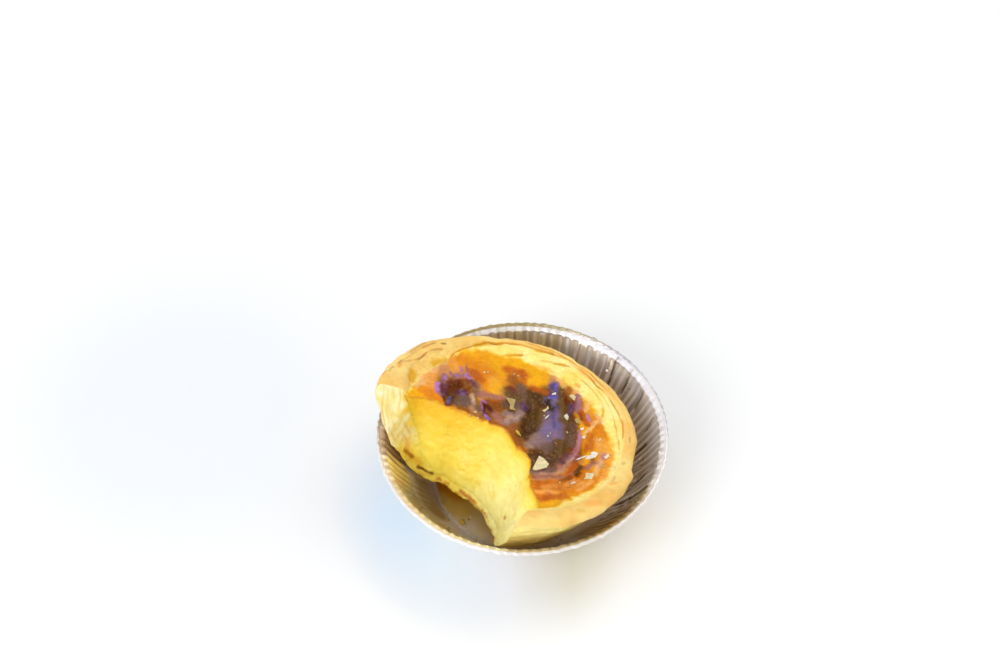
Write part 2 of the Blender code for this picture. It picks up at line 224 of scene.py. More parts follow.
# The tart, along its own axis
FOOT_RADIUS = 20.5
TOP_RADIUS = 32.4
TART_HEIGHT = 22.5
FOOT_ROUNDING = 2.5
SIDE_BULGE = 0.8
SIDE_UNEVENNESS = 0.4
PASTRY_FLOOR = 2.0
PASTRY_WALL = 3.2
INSIDE_BULGE = 0.5
CUSTARD_EDGE_RADIUS = 27.4
CUSTARD_LEVEL = 20.6
CLIMB = 1.0
CLIMB_WIDTH = 2.4
LEAN = (-8.8, 11.9)
FOOT_CENTRE = (-8.59, -6.44, 5.64)
DRAWN_IN_SHARE = 0.05
DRAWN_IN_AT = 222.0
DRAWN_IN_HALF_WIDTH = 70.0
SWELL = 0.8
SWELL_AT = 300.0
WALL_SHIFT = 1.0
WALL_SHIFT_AT = 95.0
THICK_SPOT = 2.2
THICK_SPOT_AT = 160.0
THICK_SPOT_HALF_WIDTH = 22.0

# The pastry's rim: its section from the side, over the top and down to the custard, as (radius, height)
RIM_SECTION = (
    (30.71, 18.5),
    (31.45, 19.4),
    (32.35, 20.4),
    (32.4, 21.4),
    (31.95, 22.15),
    (31.2, 22.4),
    (30.5, 22.3),
    (29.8, 22.2),
    (29.1, 22.0),
    (28.5, 21.7),
    (27.95, 21.2),
    (27.6, 20.5),
    (27.35, 19.6),
)
RIM_STEP = 0.13
RIM_COLUMNS = 640
RIM_WANDER = 0.3
# the lines between its leaves as seen from above: (half width, depth, (angle, radius) along the line)
LEAF_LINES = (
    (0.26, 0.34, ((53.0, 32.2), (60.0, 31.5), (66.0, 30.8), (72.0, 30.5), (80.0, 30.4), (90.0, 30.0),
                  (97.0, 29.9), (103.0, 29.3), (107.0, 28.6), (114.0, 28.0), (118.0, 27.2), (123.0, 25.8))),
    (0.24, 0.26, ((77.0, 28.0), (80.0, 27.7), (85.0, 27.0), (90.0, 26.4))),
    (0.24, 0.28, ((53.0, 30.3), (58.0, 29.6), (63.0, 28.7), (70.0, 27.9))),
    (0.20, 0.26, ((-1.0, 29.1), (5.0, 29.7), (10.0, 30.1), (20.0, 30.2), (36.0, 30.3), (42.0, 30.6),
                  (51.0, 31.2))),
    (0.22, 0.16, ((17.0, 26.4), (20.0, 27.0), (25.0, 28.0), (33.0, 28.6), (47.0, 28.9))),
    (0.18, 0.12, ((-3.0, 31.0), (8.0, 31.4), (22.0, 31.7), (34.0, 31.6))),
    (0.20, 0.20, ((30.0, 31.2), (44.0, 31.6), (56.0, 31.9), (66.0, 31.7), (80.0, 31.3))),
    (0.18, 0.16, ((-8.0, 28.4), (4.0, 28.2), (14.0, 28.6), (26.0, 29.2), (38.0, 29.6))),
    (0.20, 0.14, ((120.0, 29.2), (128.0, 29.9), (137.0, 29.5), (146.0, 30.6))),
    (0.20, 0.12, ((122.0, 31.4), (131.0, 31.5), (141.0, 31.2), (150.0, 32.0))),
)
LEAF_LIFT = 0.10
# how far the rim reaches beyond its plain circle: (angle, millimetres)
RIM_REACH = (
    (-120.0, 0.0), (-60.0, 0.0), (-40.0, 0.2), (-30.0, 0.1), (-21.0, 0.5), (-17.0, -0.5), (-10.0, -0.5),
    (0.0, 0.3), (15.0, 0.7), (35.0, 0.9), (55.0, 0.8), (70.0, 0.6), (80.0, -0.1), (90.0, -0.5), (100.0, 0.1),
    (120.0, 0.3), (132.0, 1.0), (140.0, 0.8), (152.0, 1.2), (163.0, 1.5), (180.0, 0.6),
)

# The bite
BITE_CENTRE = (-16.0, -18.0)
BITE_RADIUS_LOW = 16.4
BITE_RADIUS_HIGH = 22.5
BITE_CURVE = 0.85
BITE_BELOW = 3.0
BITE_ABOVE = 5.0
BITE_COLUMNS = 720
BITE_ROWS = 104
CRUMB_RELIEF = 0.18
CRUMB_SIZE = 3.2
# (angle, extra reach at the foot and at the rim, height from which the second takes over, half width)
TOOTH_MARKS = (
    (124.0, 0.0, 9.5, 16.2, 22.0),
    (102.0, 4.0, 3.6, 0.0, 22.0),
    (78.0, 1.6, 0.2, 0.0, 14.0),
    (48.0, 0.0, 1.7, 0.0, 14.0),
    (22.0, 0.0, 1.2, 0.0, 12.0),
    (4.0, 0.4, -0.9, 0.0, 15.0),
    (-16.0, 0.3, 2.0, 0.0, 13.0),
)

# lines between the leaves in the torn wall: distances in from its outside, and the side where they show most
TORN_LEAVES = (0.9, 1.9, 3.1, 4.4, 5.6)
TORN_LEAVES_AT = 175.0

# The skin's relief: (from x, y, to x, y, half width, height)
RIDGES = (
    # the burst bubble on the left, its lips and its hollow
    (-16.8, 12.6, -16.2, 9.2, 1.5, 0.9),
    (-15.2, 15.6, -14.0, 13.6, 1.4, 0.7),
    (-13.4, 16.0, -9.4, 16.9, 1.4, 0.9),
    (-9.0, 17.0, -7.2, 14.2, 1.4, 0.8),
    (-7.2, 13.5, -8.2, 11.0, 1.5, 0.5),
    (-9.0, 20.0, -9.2, 18.0, 0.6, 0.6),
    (-10.6, 19.2, -10.5, 17.8, 0.6, 0.5),
    (-14.0, 7.8, -13.9, 5.6, 0.8, 0.5),
    (-13.4, 9.8, -9.8, 13.6, 2.5, -1.6),
    (-11.4, 10.6, -8.4, 10.8, 1.4, 0.5),
    (-12.0, 7.4, -8.5, 6.6, 2.2, 0.3),
    (-7.6, 9.8, -7.8, 7.4, 1.0, 0.5),
    # the curled fold beside it
    (-4.2, 8.4, -5.6, 6.8, 1.0, 0.8),
    (-5.6, 6.8, -5.9, 4.2, 1.0, 0.9),
    (-5.9, 4.2, -4.4, 1.7, 1.0, 0.8),
    (-4.3, 5.8, -0.6, 8.0, 1.9, -1.2),
    (-4.2, 9.9, -0.6, 10.0, 1.6, 0.7),
    # the pillow in the middle and the valley on its right
    (0.0, 2.6, 4.0, 5.6, 3.6, 1.0),
    (4.8, 9.8, 5.2, 6.0, 1.3, 0.4),
    (8.2, 14.5, 7.7, 8.0, 2.6, -0.8),
    (7.7, 8.0, 6.4, 2.0, 2.8, -1.0),
    (6.4, 2.0, 4.2, -2.8, 2.4, -0.8),
    # the dome
    (13.0, 15.5, 12.5, 3.0, 4.8, 1.2),
    (12.5, 3.0, 9.0, -5.2, 4.8, 1.3),
    (5.2, -6.0, 8.6, -6.6, 1.5, 0.5),
    (11.0, 11.0, 13.0, 10.0, 1.5, -0.6),
    (16.4, 13.0, 17.0, 3.0, 1.7, -0.8),
    (17.0, 2.0, 15.0, -6.0, 1.8, -0.7),
    # the ridges on its right
    (19.8, 15.0, 19.2, 10.0, 1.4, 0.7),
    (20.2, 10.0, 21.6, 6.4, 1.2, 0.8),
    (22.6, 13.6, 21.2, 11.8, 0.9, 0.5),
    (24.6, 9.0, 23.2, 6.0, 1.1, 0.5),
    (23.2, 6.0, 21.2, 1.0, 1.1, 0.7),
    (19.3, 1.6, 17.4, -6.0, 1.2, 0.8),
    (22.6, 3.0, 21.0, -3.5, 1.6, -0.5),
    (23.8, -7.0, 20.0, -10.5, 1.8, 0.5),
    # swells of the unburnt skin
    (-18.0, 17.0, -19.5, 11.0, 3.8, 0.7),
    (-3.0, 20.0, -2.0, 12.5, 4.4, 0.8),
    (8.5, 21.0, 10.5, 18.5, 4.8, 0.6),
    (3.8, 21.0, 4.0, 13.0, 1.8, -0.4),
)
# folds as arcs: (centre x, centre y, radius, first angle, last angle, half width, height)
FOLDS = (
    (6.0, -1.5, 13.3, -100.0, 12.0, 1.4, -0.8),
    (6.0, -1.5, 15.2, -100.0, -5.0, 1.5, 0.9),
    (6.0, -1.5, 17.0, -95.0, -15.0, 1.2, -0.8),
    (6.0, -1.5, 18.9, -95.0, -20.0, 1.4, 0.7),
    (6.0, -1.5, 20.6, -95.0, -40.0, 1.0, -0.4),
)
FOLD_FADE = 14.0
SKIN_WAVES = ((6.0, 0.4), (2.5, 0.22), (1.1, 0.08))
SKIN_CELLS = 280
SKIN_FADE_WIDTH = 3.0
# the heights of the custard's rows, from its level down to its foot
CUSTARD_ROWS = (CUSTARD_LEVEL, 19.6, 17.0, 13.0, 9.0, 5.0, PASTRY_FLOOR + 0.1)

# Colours as a picture shows them, from 0 to 255
PIGMENTS = {
    "film": (240, 234, 230),
    "pearl_highlight": (250, 247, 255),
    "pewter_reflection": (222, 214, 200),
    "brass_reflection": (214, 196, 140),
    "bronze_reflection": (190, 160, 84),
    "lead_crease_shade": (104, 88, 62),
    "butter": (236, 200, 92),
    "toast": (232, 156, 22),
    "brick": (188, 86, 8),
    "toffee": (150, 82, 16),
    "clay": (206, 140, 90),
    "orchid_highlight": (180, 116, 196),
    "plum_sheen": (104, 50, 80),
    "indigo_sheen": (78, 62, 118),
    "pink": (192, 126, 140),
    "fawn_highlight": (198, 158, 128),
    "sienna": (206, 116, 30),
    "shell": (242, 188, 130),
    "dusk": (172, 110, 92),
    "cream": (250, 228, 150),
    "straw": (246, 206, 78),
    "gold": (244, 172, 6),
    "orange": (226, 134, 14),
    "peach": (238, 160, 72),
    "blush_reflection": (240, 178, 130),
    "rust": (172, 80, 6),
    "mahogany": (108, 42, 8),
    "umber": (78, 46, 14),
    "olive": (104, 72, 26),
    "taupe": (112, 82, 70),
    "ash": (148, 116, 106),
    "mauve_sheen": (152, 104, 118),
    "blue": (96, 88, 168),
    "slate_sheen": (124, 104, 142),
    "night": (46, 36, 40),
    "crust": (188, 130, 72),
    "honey": (244, 172, 76),
    "amber": (222, 158, 20),
    "char": (92, 40, 8),
    "side_biscuit": (250, 216, 120),
    "side_pale": (252, 230, 136),
    "side_tan": (206, 158, 104),
    "side_wheat": (240, 202, 142),
    "leaf_pale": (250, 216, 126),
    "leaf_tan": (240, 188, 92),
    "leaf_cream": (254, 236, 150),
    "leaf_gold": (252, 214, 96),
    "leaf_line": (202, 124, 14),
    "custard": (252, 222, 82),
    "custard_pale_lit": (255, 242, 158),
    "custard_rich": (240, 184, 22),
    "under_skin": (238, 182, 16),
    "under_burnt": (176, 92, 12),
    "torn_cream": (252, 244, 200),
    "torn_butter": (246, 226, 142),
    "torn_line": (232, 176, 62),
}

# The skin's colours in soft strokes, each over the ones before, where they seem to lie from the camera; the
# mauve, plum, blue,
# indigo and slate ones are painted sheen, the sky mirrored on the glossy skin, and orchid and fawn are
# painted highlights:
# (colour, from x, y, to x, y, half width, strength)
SKIN_STROKES = (
    # the unburnt ground
    ("gold", 0.0, 25.5, 12.0, 24.5, 7.5, 0.9),
    ("gold", 9.0, 23.0, 8.6, 17.5, 4.4, 0.95),
    ("orange", -13.0, 23.0, -5.0, 18.0, 5.0, 0.85),
    ("orange", -4.6, 19.0, -5.0, 12.0, 3.0, 0.8),
    ("honey", -2.4, 16.5, -1.8, 11.4, 2.4, 0.7),
    ("gold", -2.0, 16.0, -2.2, 12.4, 1.6, 0.6),
    ("shell", -21.5, 11.0, -15.5, 21.0, 2.6, 0.85),
    ("peach", -18.6, 15.0, -17.4, 10.5, 2.8, 0.9),
    ("orange", -20.5, 9.4, -18.0, 9.0, 2.2, 0.9),
    ("clay", -15.4, 20.0, -13.8, 16.5, 2.8, 0.85),
    ("peach", -12.6, 21.6, -11.4, 18.4, 1.8, 0.8),
    ("cream", 14.0, 24.0, 22.0, 17.0, 3.6, 0.8),
    ("straw", 19.0, 20.0, 26.0, 8.0, 3.6, 0.7),
    ("shell", 14.0, 20.6, 19.4, 15.6, 2.6, 0.7),
    ("gold", 16.8, 19.4, 18.8, 18.8, 1.8, 0.8),
    ("gold", 22.0, 11.6, 24.6, 9.8, 2.4, 0.9),
    ("gold", 25.8, 8.0, 26.6, 1.0, 1.8, 0.8),
    ("orange", 23.6, 4.4, 24.4, 0.0, 2.6, 0.9),
    ("peach", 23.6, -1.0, 24.4, -6.0, 2.8, 0.8),
    ("honey", 26.0, -2.0, 26.0, -8.0, 1.8, 0.6),
    ("orange", 22.8, -13.4, 19.0, -17.4, 2.8, 0.8),
    ("honey", 25.0, -10.0, 23.0, -15.0, 1.6, 0.7),
    ("orange", 16.0, -18.0, 8.0, -22.0, 5.0, 0.8),
    ("amber", 14.6, -21.6, 8.0, -25.2, 2.4, 0.8),
    # the burnt ground under everything
    ("umber", -13.6, 12.6, -9.6, 7.6, 4.6, 1.0),
    ("taupe", -9.0, 6.0, -4.0, 3.0, 3.0, 0.95),
    ("taupe", 3.0, 13.0, 3.0, 2.6, 4.8, 1.0),
    ("toffee", -3.6, 6.6, 3.0, 0.0, 3.6, 0.95),
    ("umber", 7.2, 12.6, 6.6, -1.0, 4.2, 1.0),
    ("umber", 12.6, 13.6, 12.8, -4.0, 5.2, 1.0),
    ("umber", 12.0, -4.0, 8.0, -11.0, 5.4, 1.0),
    ("taupe", 12.0, -10.0, 6.6, -13.6, 3.6, 1.0),
    ("mahogany", 16.6, 11.0, 17.0, -6.6, 2.6, 0.9),
    ("dusk", 17.4, -7.6, 8.0, -15.6, 2.6, 0.9),
    ("sienna", 15.0, -16.0, 7.0, -21.6, 4.4, 0.85),
    # the burst bubble on the left, with painted sheen and highlights on its lips
    ("clay", -15.0, 16.0, -8.0, 17.0, 3.0, 0.6),
    ("toffee", -13.6, 11.6, -9.0, 12.4, 4.4, 0.95),
    ("taupe", -13.0, 7.0, -8.6, 8.0, 3.0, 0.95),
    ("brick", -7.4, 18.4, -5.8, 16.0, 1.9, 0.8),
    ("clay", -7.0, 13.4, -5.6, 10.4, 2.4, 0.75),
    ("taupe", -7.6, 14.6, -6.8, 10.6, 1.7, 0.75),
    ("mahogany", -14.0, 9.0, -13.2, 13.4, 1.7, 0.95),
    ("mahogany", -13.0, 13.6, -9.0, 14.8, 1.6, 0.8),
    ("char", -12.6, 12.0, -11.0, 13.2, 1.7, 0.7),
    ("toffee", -10.0, 14.2, -9.2, 12.2, 1.2, 0.8),
    ("olive", -13.4, 9.8, -12.6, 7.4, 1.2, 0.8),
    ("plum_sheen", -15.0, 12.4, -15.4, 8.6, 1.5, 0.9),
    ("plum_sheen", -11.6, 10.2, -9.8, 10.4, 1.6, 0.9),
    ("slate_sheen", -10.8, 11.0, -10.2, 9.4, 1.0, 0.6),
    ("mauve_sheen", -15.0, 15.6, -15.4, 13.4, 1.3, 0.95),
    ("orchid_highlight", -14.6, 15.6, -14.6, 14.4, 0.7, 0.7),
    ("orchid_highlight", -16.8, 12.4, -16.8, 9.4, 1.0, 1.0),
    ("mauve_sheen", -16.2, 8.8, -15.2, 7.8, 1.0, 0.9),
    ("mauve_sheen", -13.2, 16.8, -12.6, 15.6, 0.7, 0.8),
    ("mauve_sheen", -12.0, 16.4, -8.6, 16.8, 1.1, 0.9),
    ("orchid_highlight", -9.4, 16.8, -8.2, 15.6, 0.8, 0.9),
    ("orchid_highlight", -12.0, 16.4, -11.4, 15.4, 0.6, 0.7),
    ("orchid_highlight", -10.6, 19.4, -10.5, 18.0, 0.6, 0.9),
    ("mauve_sheen", -9.1, 20.4, -9.2, 17.6, 0.6, 0.9),
    ("pink", -9.2, 18.0, -9.2, 17.4, 0.5, 0.7),
    ("plum_sheen", -8.0, 15.2, -7.2, 13.0, 0.8, 0.7),
    ("char", -15.2, 7.6, -14.0, 5.2, 1.2, 0.95),
    ("char", -13.2, 7.2, -13.0, 5.6, 0.7, 0.8),
    ("blue", -13.8, 8.0, -14.0, 5.6, 0.6, 0.85),
    # painted highlights on the small bubble beside it
    ("fawn_highlight", -8.0, 10.2, -7.6, 6.8, 1.1, 0.75),
    ("shell", -7.8, 9.0, -7.7, 7.6, 0.5, 0.5),
    ("taupe", -12.0, 6.0, -7.0, 5.2, 1.6, 0.9),
    ("toffee", -11.4, 4.8, -9.4, 4.0, 1.3, 0.9),
    ("clay", -8.4, 5.4, -7.0, 2.8, 1.5, 0.75),
    ("toffee", -9.0, 3.4, -6.0, 2.2, 1.0, 0.6),
    # the curled fold beside it, with painted sheen and highlights on its lip
    ("dusk", -5.6, 10.4, -0.8, 9.8, 2.2, 0.95),
    ("toffee", -4.4, 7.4, 0.2, 7.6, 2.6, 0.95),
    ("brick", -3.0, 8.6, -1.0, 8.2, 1.2, 0.5),
    ("toffee", -4.2, 4.0, -1.8, 2.0, 2.4, 0.95),
    ("dusk", -2.6, 4.4, -0.8, 0.6, 2.2, 0.95),
    ("toffee", -4.6, 0.6, 2.0, -0.6, 1.5, 0.9),
    ("char", -5.2, 7.2, -3.4, 5.2, 1.3, 0.95),
    ("plum_sheen", -5.5, 6.4, -5.6, 4.0, 0.8, 0.9),
    ("plum_sheen", -5.4, 3.8, -4.6, 2.6, 0.9, 0.7),
    ("orchid_highlight", -5.5, 8.4, -4.6, 7.8, 0.6, 0.9),
    ("orchid_highlight", -5.8, 7.6, -5.9, 5.4, 0.35, 0.8),
    ("orchid_highlight", -5.0, 3.0, -4.2, 1.8, 0.7, 0.9),
    ("blue", -4.6, 2.2, -4.2, 1.8, 0.4, 0.5),
    # the pillow in the middle and the valley on its right, with painted highlights and a little painted sheen
    ("brick", 1.6, 21.0, 5.4, 20.0, 2.6, 0.8),
    ("brick", 5.0, 20.8, 5.4, 17.5, 1.4, 0.7),
    ("sienna", 2.6, 18.4, 3.0, 15.6, 2.6, 0.85),
    ("toffee", 2.6, 17.4, 4.6, 15.0, 2.8, 0.8),
    ("mahogany", 1.6, 14.0, 3.2, 12.4, 2.0, 0.75),
    ("taupe", 4.6, 15.0, 4.4, 11.0, 2.4, 0.9),
    ("olive", 1.6, 11.6, 4.0, 11.0, 1.8, 0.8),
    ("taupe", 0.6, 8.0, 4.8, 8.4, 2.4, 0.95),
    ("ash", 0.4, 4.6, 3.8, 5.2, 2.2, 0.95),
    ("ash", 0.4, 1.6, 2.6, 3.2, 1.9, 0.95),
    ("fawn_highlight", 0.6, 1.8, 1.6, 3.6, 1.0, 0.6),
    ("fawn_highlight", 2.6, 3.4, 3.8, 4.4, 0.7, 0.5),
    ("plum_sheen", 4.6, 9.4, 5.2, 6.8, 1.3, 0.7),
    ("indigo_sheen", 4.8, 8.6, 5.2, 7.0, 0.8, 0.5),
    ("umber", 1.0, 6.4, 2.4, 5.6, 0.9, 0.8),
    ("olive", 7.6, 14.0, 7.4, 6.0, 1.6, 0.7),
    ("olive", 6.8, 5.0, 5.2, 0.0, 1.6, 0.7),
    ("toffee", 1.8, -1.6, 3.0, -5.4, 2.2, 0.95),
    ("umber", 3.8, 0.2, 4.6, -1.6, 1.6, 0.8),
    ("umber", 4.4, -2.0, 6.6, -8.6, 2.4, 0.9),
    ("toffee", 3.6, -3.4, 4.8, -8.0, 1.2, 0.8),
    ("clay", 4.4, -5.0, 5.0, -6.6, 0.6, 0.5),
    ("toffee", 2.4, 0.6, 3.8, -1.0, 1.0, 0.4),
    # the dome, with a painted blue sheen of the sky and painted highlights
    ("brick", 8.0, 15.2, 11.0, 14.2, 1.9, 0.75),
    ("umber", 8.4, 12.4, 10.4, 9.8, 2.6, 0.95),
    ("olive", 9.4, 6.0, 8.8, 1.6, 2.2, 0.95),
    ("olive", 15.0, 15.0, 14.6, 8.0, 2.6, 0.95),
    ("toffee", 17.0, 17.0, 16.6, 14.0, 1.6, 0.8),
    ("mahogany", 15.4, 14.4, 16.4, 11.0, 1.2, 0.7),
    ("olive", 15.6, 6.0, 15.6, -2.0, 2.8, 0.95),
    ("taupe", 17.0, 3.6, 16.4, -3.4, 1.9, 0.8),
    ("slate_sheen", 12.0, 6.4, 11.0, 0.0, 3.4, 0.85),
    ("slate_sheen", 10.6, 0.6, 8.4, -4.0, 3.7, 0.85),
    ("taupe", 9.4, -5.0, 11.0, -7.6, 2.6, 0.9),
    ("ash", 7.6, -1.6, 5.6, -5.6, 1.9, 0.85),
    ("ash", 8.0, -4.6, 9.4, -3.0, 1.4, 0.5),
    ("fawn_highlight", 5.2, -4.8, 6.6, -6.2, 0.9, 0.5),
    ("mauve_sheen", 13.2, 0.6, 12.2, -2.0, 1.2, 0.5),
    ("clay", 13.0, 20.6, 12.6, 18.4, 1.7, 0.8),
    ("mauve_sheen", 13.4, 18.6, 12.6, 16.4, 1.6, 0.7),
    ("indigo_sheen", 13.4, 17.4, 12.2, 12.2, 1.7, 0.95),
    ("blue", 13.8, 18.2, 13.6, 15.2, 0.9, 0.7),
    ("orchid_highlight", 13.9, 17.9, 13.8, 16.9, 0.45, 0.6),
    ("blue", 13.2, 13.2, 10.8, 12.0, 1.2, 0.9),
    ("slate_sheen", 10.8, 11.8, 10.2, 10.8, 1.0, 0.7),
    ("night", 11.2, 11.0, 12.6, 10.0, 1.7, 0.95),
    ("night", 12.0, 9.4, 12.2, 8.0, 1.2, 0.75),
    ("blue", 13.2, 9.4, 12.9, 4.6, 0.75, 0.55),
    ("indigo_sheen", 12.2, 7.4, 12.3, 2.0, 0.9, 0.6),
    ("slate_sheen", 13.2, 12.0, 12.6, 10.4, 1.3, 0.8),
    ("slate_sheen", 14.0, 3.0, 13.6, -1.6, 1.8, 0.8),
    ("blue", 13.2, 3.6, 13.0, 1.6, 1.2, 0.35),
    ("indigo_sheen", 17.2, 10.8, 16.8, 7.2, 1.0, 0.8),
    ("orchid_highlight", 17.0, 9.6, 16.9, 8.0, 0.5, 0.4),
    ("umber", 12.0, -7.4, 13.4, -9.6, 2.0, 0.8),
    ("olive", 13.6, -3.4, 14.4, -7.0, 2.4, 0.9),
    ("amber", 11.4, -7.6, 11.8, -8.4, 0.7, 0.3),
    ("plum_sheen", 15.2, -7.0, 13.6, -10.0, 1.1, 0.6),
    ("umber", 5.2, -9.6, 5.6, -13.6, 1.6, 0.9),
    ("umber", 11.0, -9.0, 11.4, -12.0, 1.8, 0.8),
    ("taupe", 6.2, -13.8, 11.6, -12.8, 1.3, 0.95),
    ("ash", 5.2, -14.8, 7.0, -15.0, 0.9, 0.7),
    # the ridges on its right, with painted sheen and highlights
    ("plum_sheen", 18.0, 13.0, 18.0, 9.8, 1.2, 0.8),
    ("mauve_sheen", 19.2, 14.8, 18.8, 8.6, 1.2, 0.95),
    ("dusk", 19.8, 14.6, 20.0, 8.4, 0.8, 0.9),
    ("pink", 19.2, 14.4, 19.2, 12.6, 0.7, 0.5),
    ("brick", 19.8, 8.6, 20.8, 4.6, 1.5, 0.9),
    ("mahogany", 19.4, 8.0, 19.6, 6.2, 0.9, 0.6),
    ("pink", 21.2, 8.2, 21.6, 6.0, 0.9, 0.9),
    ("shell", 22.2, 15.0, 20.9, 9.6, 1.0, 0.85),
    ("shell", 24.0, 8.6, 24.6, 6.2, 1.5, 0.9),
    ("shell", 23.2, 6.0, 20.4, 1.2, 1.1, 0.85),
    ("cream", 20.4, 1.4, 20.0, 0.4, 0.8, 0.7),
    ("pink", 18.6, 1.2, 18.2, -2.6, 0.9, 0.9),
    ("orchid_highlight", 18.4, 0.4, 18.3, -0.6, 0.45, 0.6),
    ("pink", 18.2, -2.4, 17.2, -6.4, 1.0, 0.75),
    ("sienna", 21.4, 0.6, 20.8, -4.0, 1.7, 0.95),
    ("brick", 20.2, -3.0, 19.6, -5.2, 0.9, 0.6),
    ("honey", 23.2, -0.8, 23.6, -2.2, 0.8, 0.6),
    ("pink", 24.4, -5.4, 22.6, -9.6, 1.3, 0.75),
    ("dusk", 21.6, -8.4, 19.8, -10.8, 1.5, 0.9),
    ("pink", 20.6, -9.6, 20.0, -11.0, 0.8, 0.7),
    ("shell", 23.4, -8.0, 21.8, -12.6, 1.2, 0.7),
    # the folds along the lower side, with painted highlights and sheen along their crests
    ("mauve_sheen", 16.4, -7.4, 15.2, -10.4, 1.2, 0.8),
    ("fawn_highlight", 16.6, -8.0, 13.0, -13.4, 0.7, 0.75),
    ("fawn_highlight", 12.6, -13.8, 6.4, -15.4, 0.6, 0.75),
    ("umber", 18.0, -10.6, 17.0, -13.6, 1.4, 0.95),
    ("brick", 17.0, -10.0, 14.6, -14.6, 1.6, 0.8),
    ("clay", 15.8, -9.8, 14.2, -12.4, 0.8, 0.6),
    ("dusk", 13.8, -14.8, 6.6, -16.4, 1.2, 0.9),
    ("mauve_sheen", 15.8, -13.6, 14.8, -15.2, 1.0, 0.6),
    ("toffee", 15.6, -14.8, 12.4, -17.2, 1.4, 0.85),
    ("sienna", 11.6, -16.6, 6.0, -18.6, 1.4, 0.9),
    ("toffee", 9.6, -17.4, 6.0, -17.6, 0.5, 0.6),
    ("clay", 10.0, -15.8, 7.4, -16.4, 0.6, 0.6),
    ("shell", 16.2, -15.6, 15.6, -17.0, 0.7, 0.7),
    ("peach", 18.4, -15.8, 9.0, -19.2, 1.5, 0.9),
    ("peach", 12.0, -20.4, 7.0, -20.8, 1.1, 0.9),
    ("dusk", 11.6, -21.4, 9.6, -21.0, 0.8, 0.5),
    ("sienna", 13.6, -21.2, 7.8, -23.4, 1.7, 0.95),
    ("brick", 10.0, -22.0, 8.6, -22.8, 1.0, 0.5),
    ("gold", 11.4, -23.4, 7.6, -25.0, 1.0, 0.8),
    ("shell", 20.6, -15.4, 17.0, -18.6, 1.0, 0.6),
)
# How far a place seems to shift, seen from the camera, for each millimetre that it stands above the level
SEEN_SHIFT = (0.25, 1.07)
SEEN_LEVEL = 21.3

# The rim's colours in the same way, from angle and radius to angle and radius
RIM_STROKES = (
    ("amber", 104.0, 28.9, 99.0, 29.6, 0.8, 0.8),
    ("amber", 98.0, 29.6, 90.0, 29.9, 0.45, 0.7),
    ("amber", 73.0, 30.4, 65.0, 30.9, 0.5, 0.8),
    ("amber", 62.0, 28.9, 57.0, 29.7, 0.45, 0.7),
    ("amber", 90.0, 26.6, 79.0, 27.8, 0.4, 0.7),
    ("amber", 24.0, 27.8, 19.0, 26.6, 0.4, 0.6),
    ("amber", 150.0, 26.8, 146.0, 27.5, 1.3, 0.85),
    ("amber", 131.0, 26.6, 123.0, 26.4, 1.0, 0.8),
    ("honey", 158.0, 32.8, 156.0, 32.7, 0.6, 0.9),
    ("honey", 149.0, 31.0, 147.0, 31.3, 0.7, 0.9),
    ("crust", 147.0, 31.4, 145.0, 31.7, 0.3, 0.7),
    ("crust", 145.0, 31.2, 141.5, 30.0, 0.3, 0.5),
    ("olive", 120.6, 30.8, 119.4, 30.6, 0.35, 0.7),
    ("crust", 137.0, 29.5, 131.0, 29.9, 0.25, 0.8),
    ("crust", 128.0, 30.0, 122.0, 29.4, 0.3, 0.4),
    ("crust", 131.0, 31.5, 124.0, 31.4, 0.3, 0.6),
    ("crust", 155.0, 32.0, 151.0, 31.9, 0.25, 0.6),
    ("crust", 138.0, 32.1, 128.0, 32.4, 0.5, 0.4),
    ("honey", 71.0, 26.1, 60.0, 26.5, 0.7, 0.6),
    ("honey", 50.0, 30.8, 40.0, 30.6, 0.7, 0.6),
    ("honey", 45.0, 27.1, 43.0, 26.9, 0.6, 0.8),
    ("honey", 12.0, 30.2, 8.0, 30.0, 0.35, 0.7),
    ("crust", 1.0, 31.1, -2.0, 31.0, 0.25, 0.6),
    ("honey", -31.0, 30.6, -33.0, 29.9, 0.6, 0.9),
    ("olive", -16.0, 30.3, -17.0, 30.1, 0.5, 0.25),
    ("crust", -27.0, 29.4, -31.0, 29.6, 0.4, 0.35),
    ("honey", -47.0, 31.3, -51.0, 30.4, 1.4, 0.8),
    ("amber", -57.0, 31.6, -58.0, 31.0, 0.9, 0.4),
)
RIM_MM_PER_DEGREE = 0.52
SHARP_CORNER = 50.0

# where the tan leaf begins, and where the skin ends: (angle, radius)
TAN_LEAF = (
    (-180.0, 28.0), (-70.0, 28.5), (-20.0, 28.8), (0.0, 29.4), (50.0, 30.7), (60.0, 31.0), (72.0, 30.2),
    (103.0, 29.3), (120.0, 27.0), (135.0, 25.5), (180.0, 26.0),
)
SKIN_EDGE = (
    (-180.0, 27.5), (-78.0, 27.0), (-74.0, 26.8), (-66.0, 27.3), (-60.0, 26.4), (-52.0, 26.0), (-39.0, 26.8),
    (-26.0, 27.6), (-13.0, 27.4), (0.0, 26.8), (10.0, 26.0), (45.0, 25.8), (70.0, 25.8), (80.0, 26.8),
    (90.0, 26.3), (98.0, 27.6), (110.0, 28.0), (118.0, 27.0), (126.0, 25.6), (150.0, 25.2), (180.0, 25.4),
)

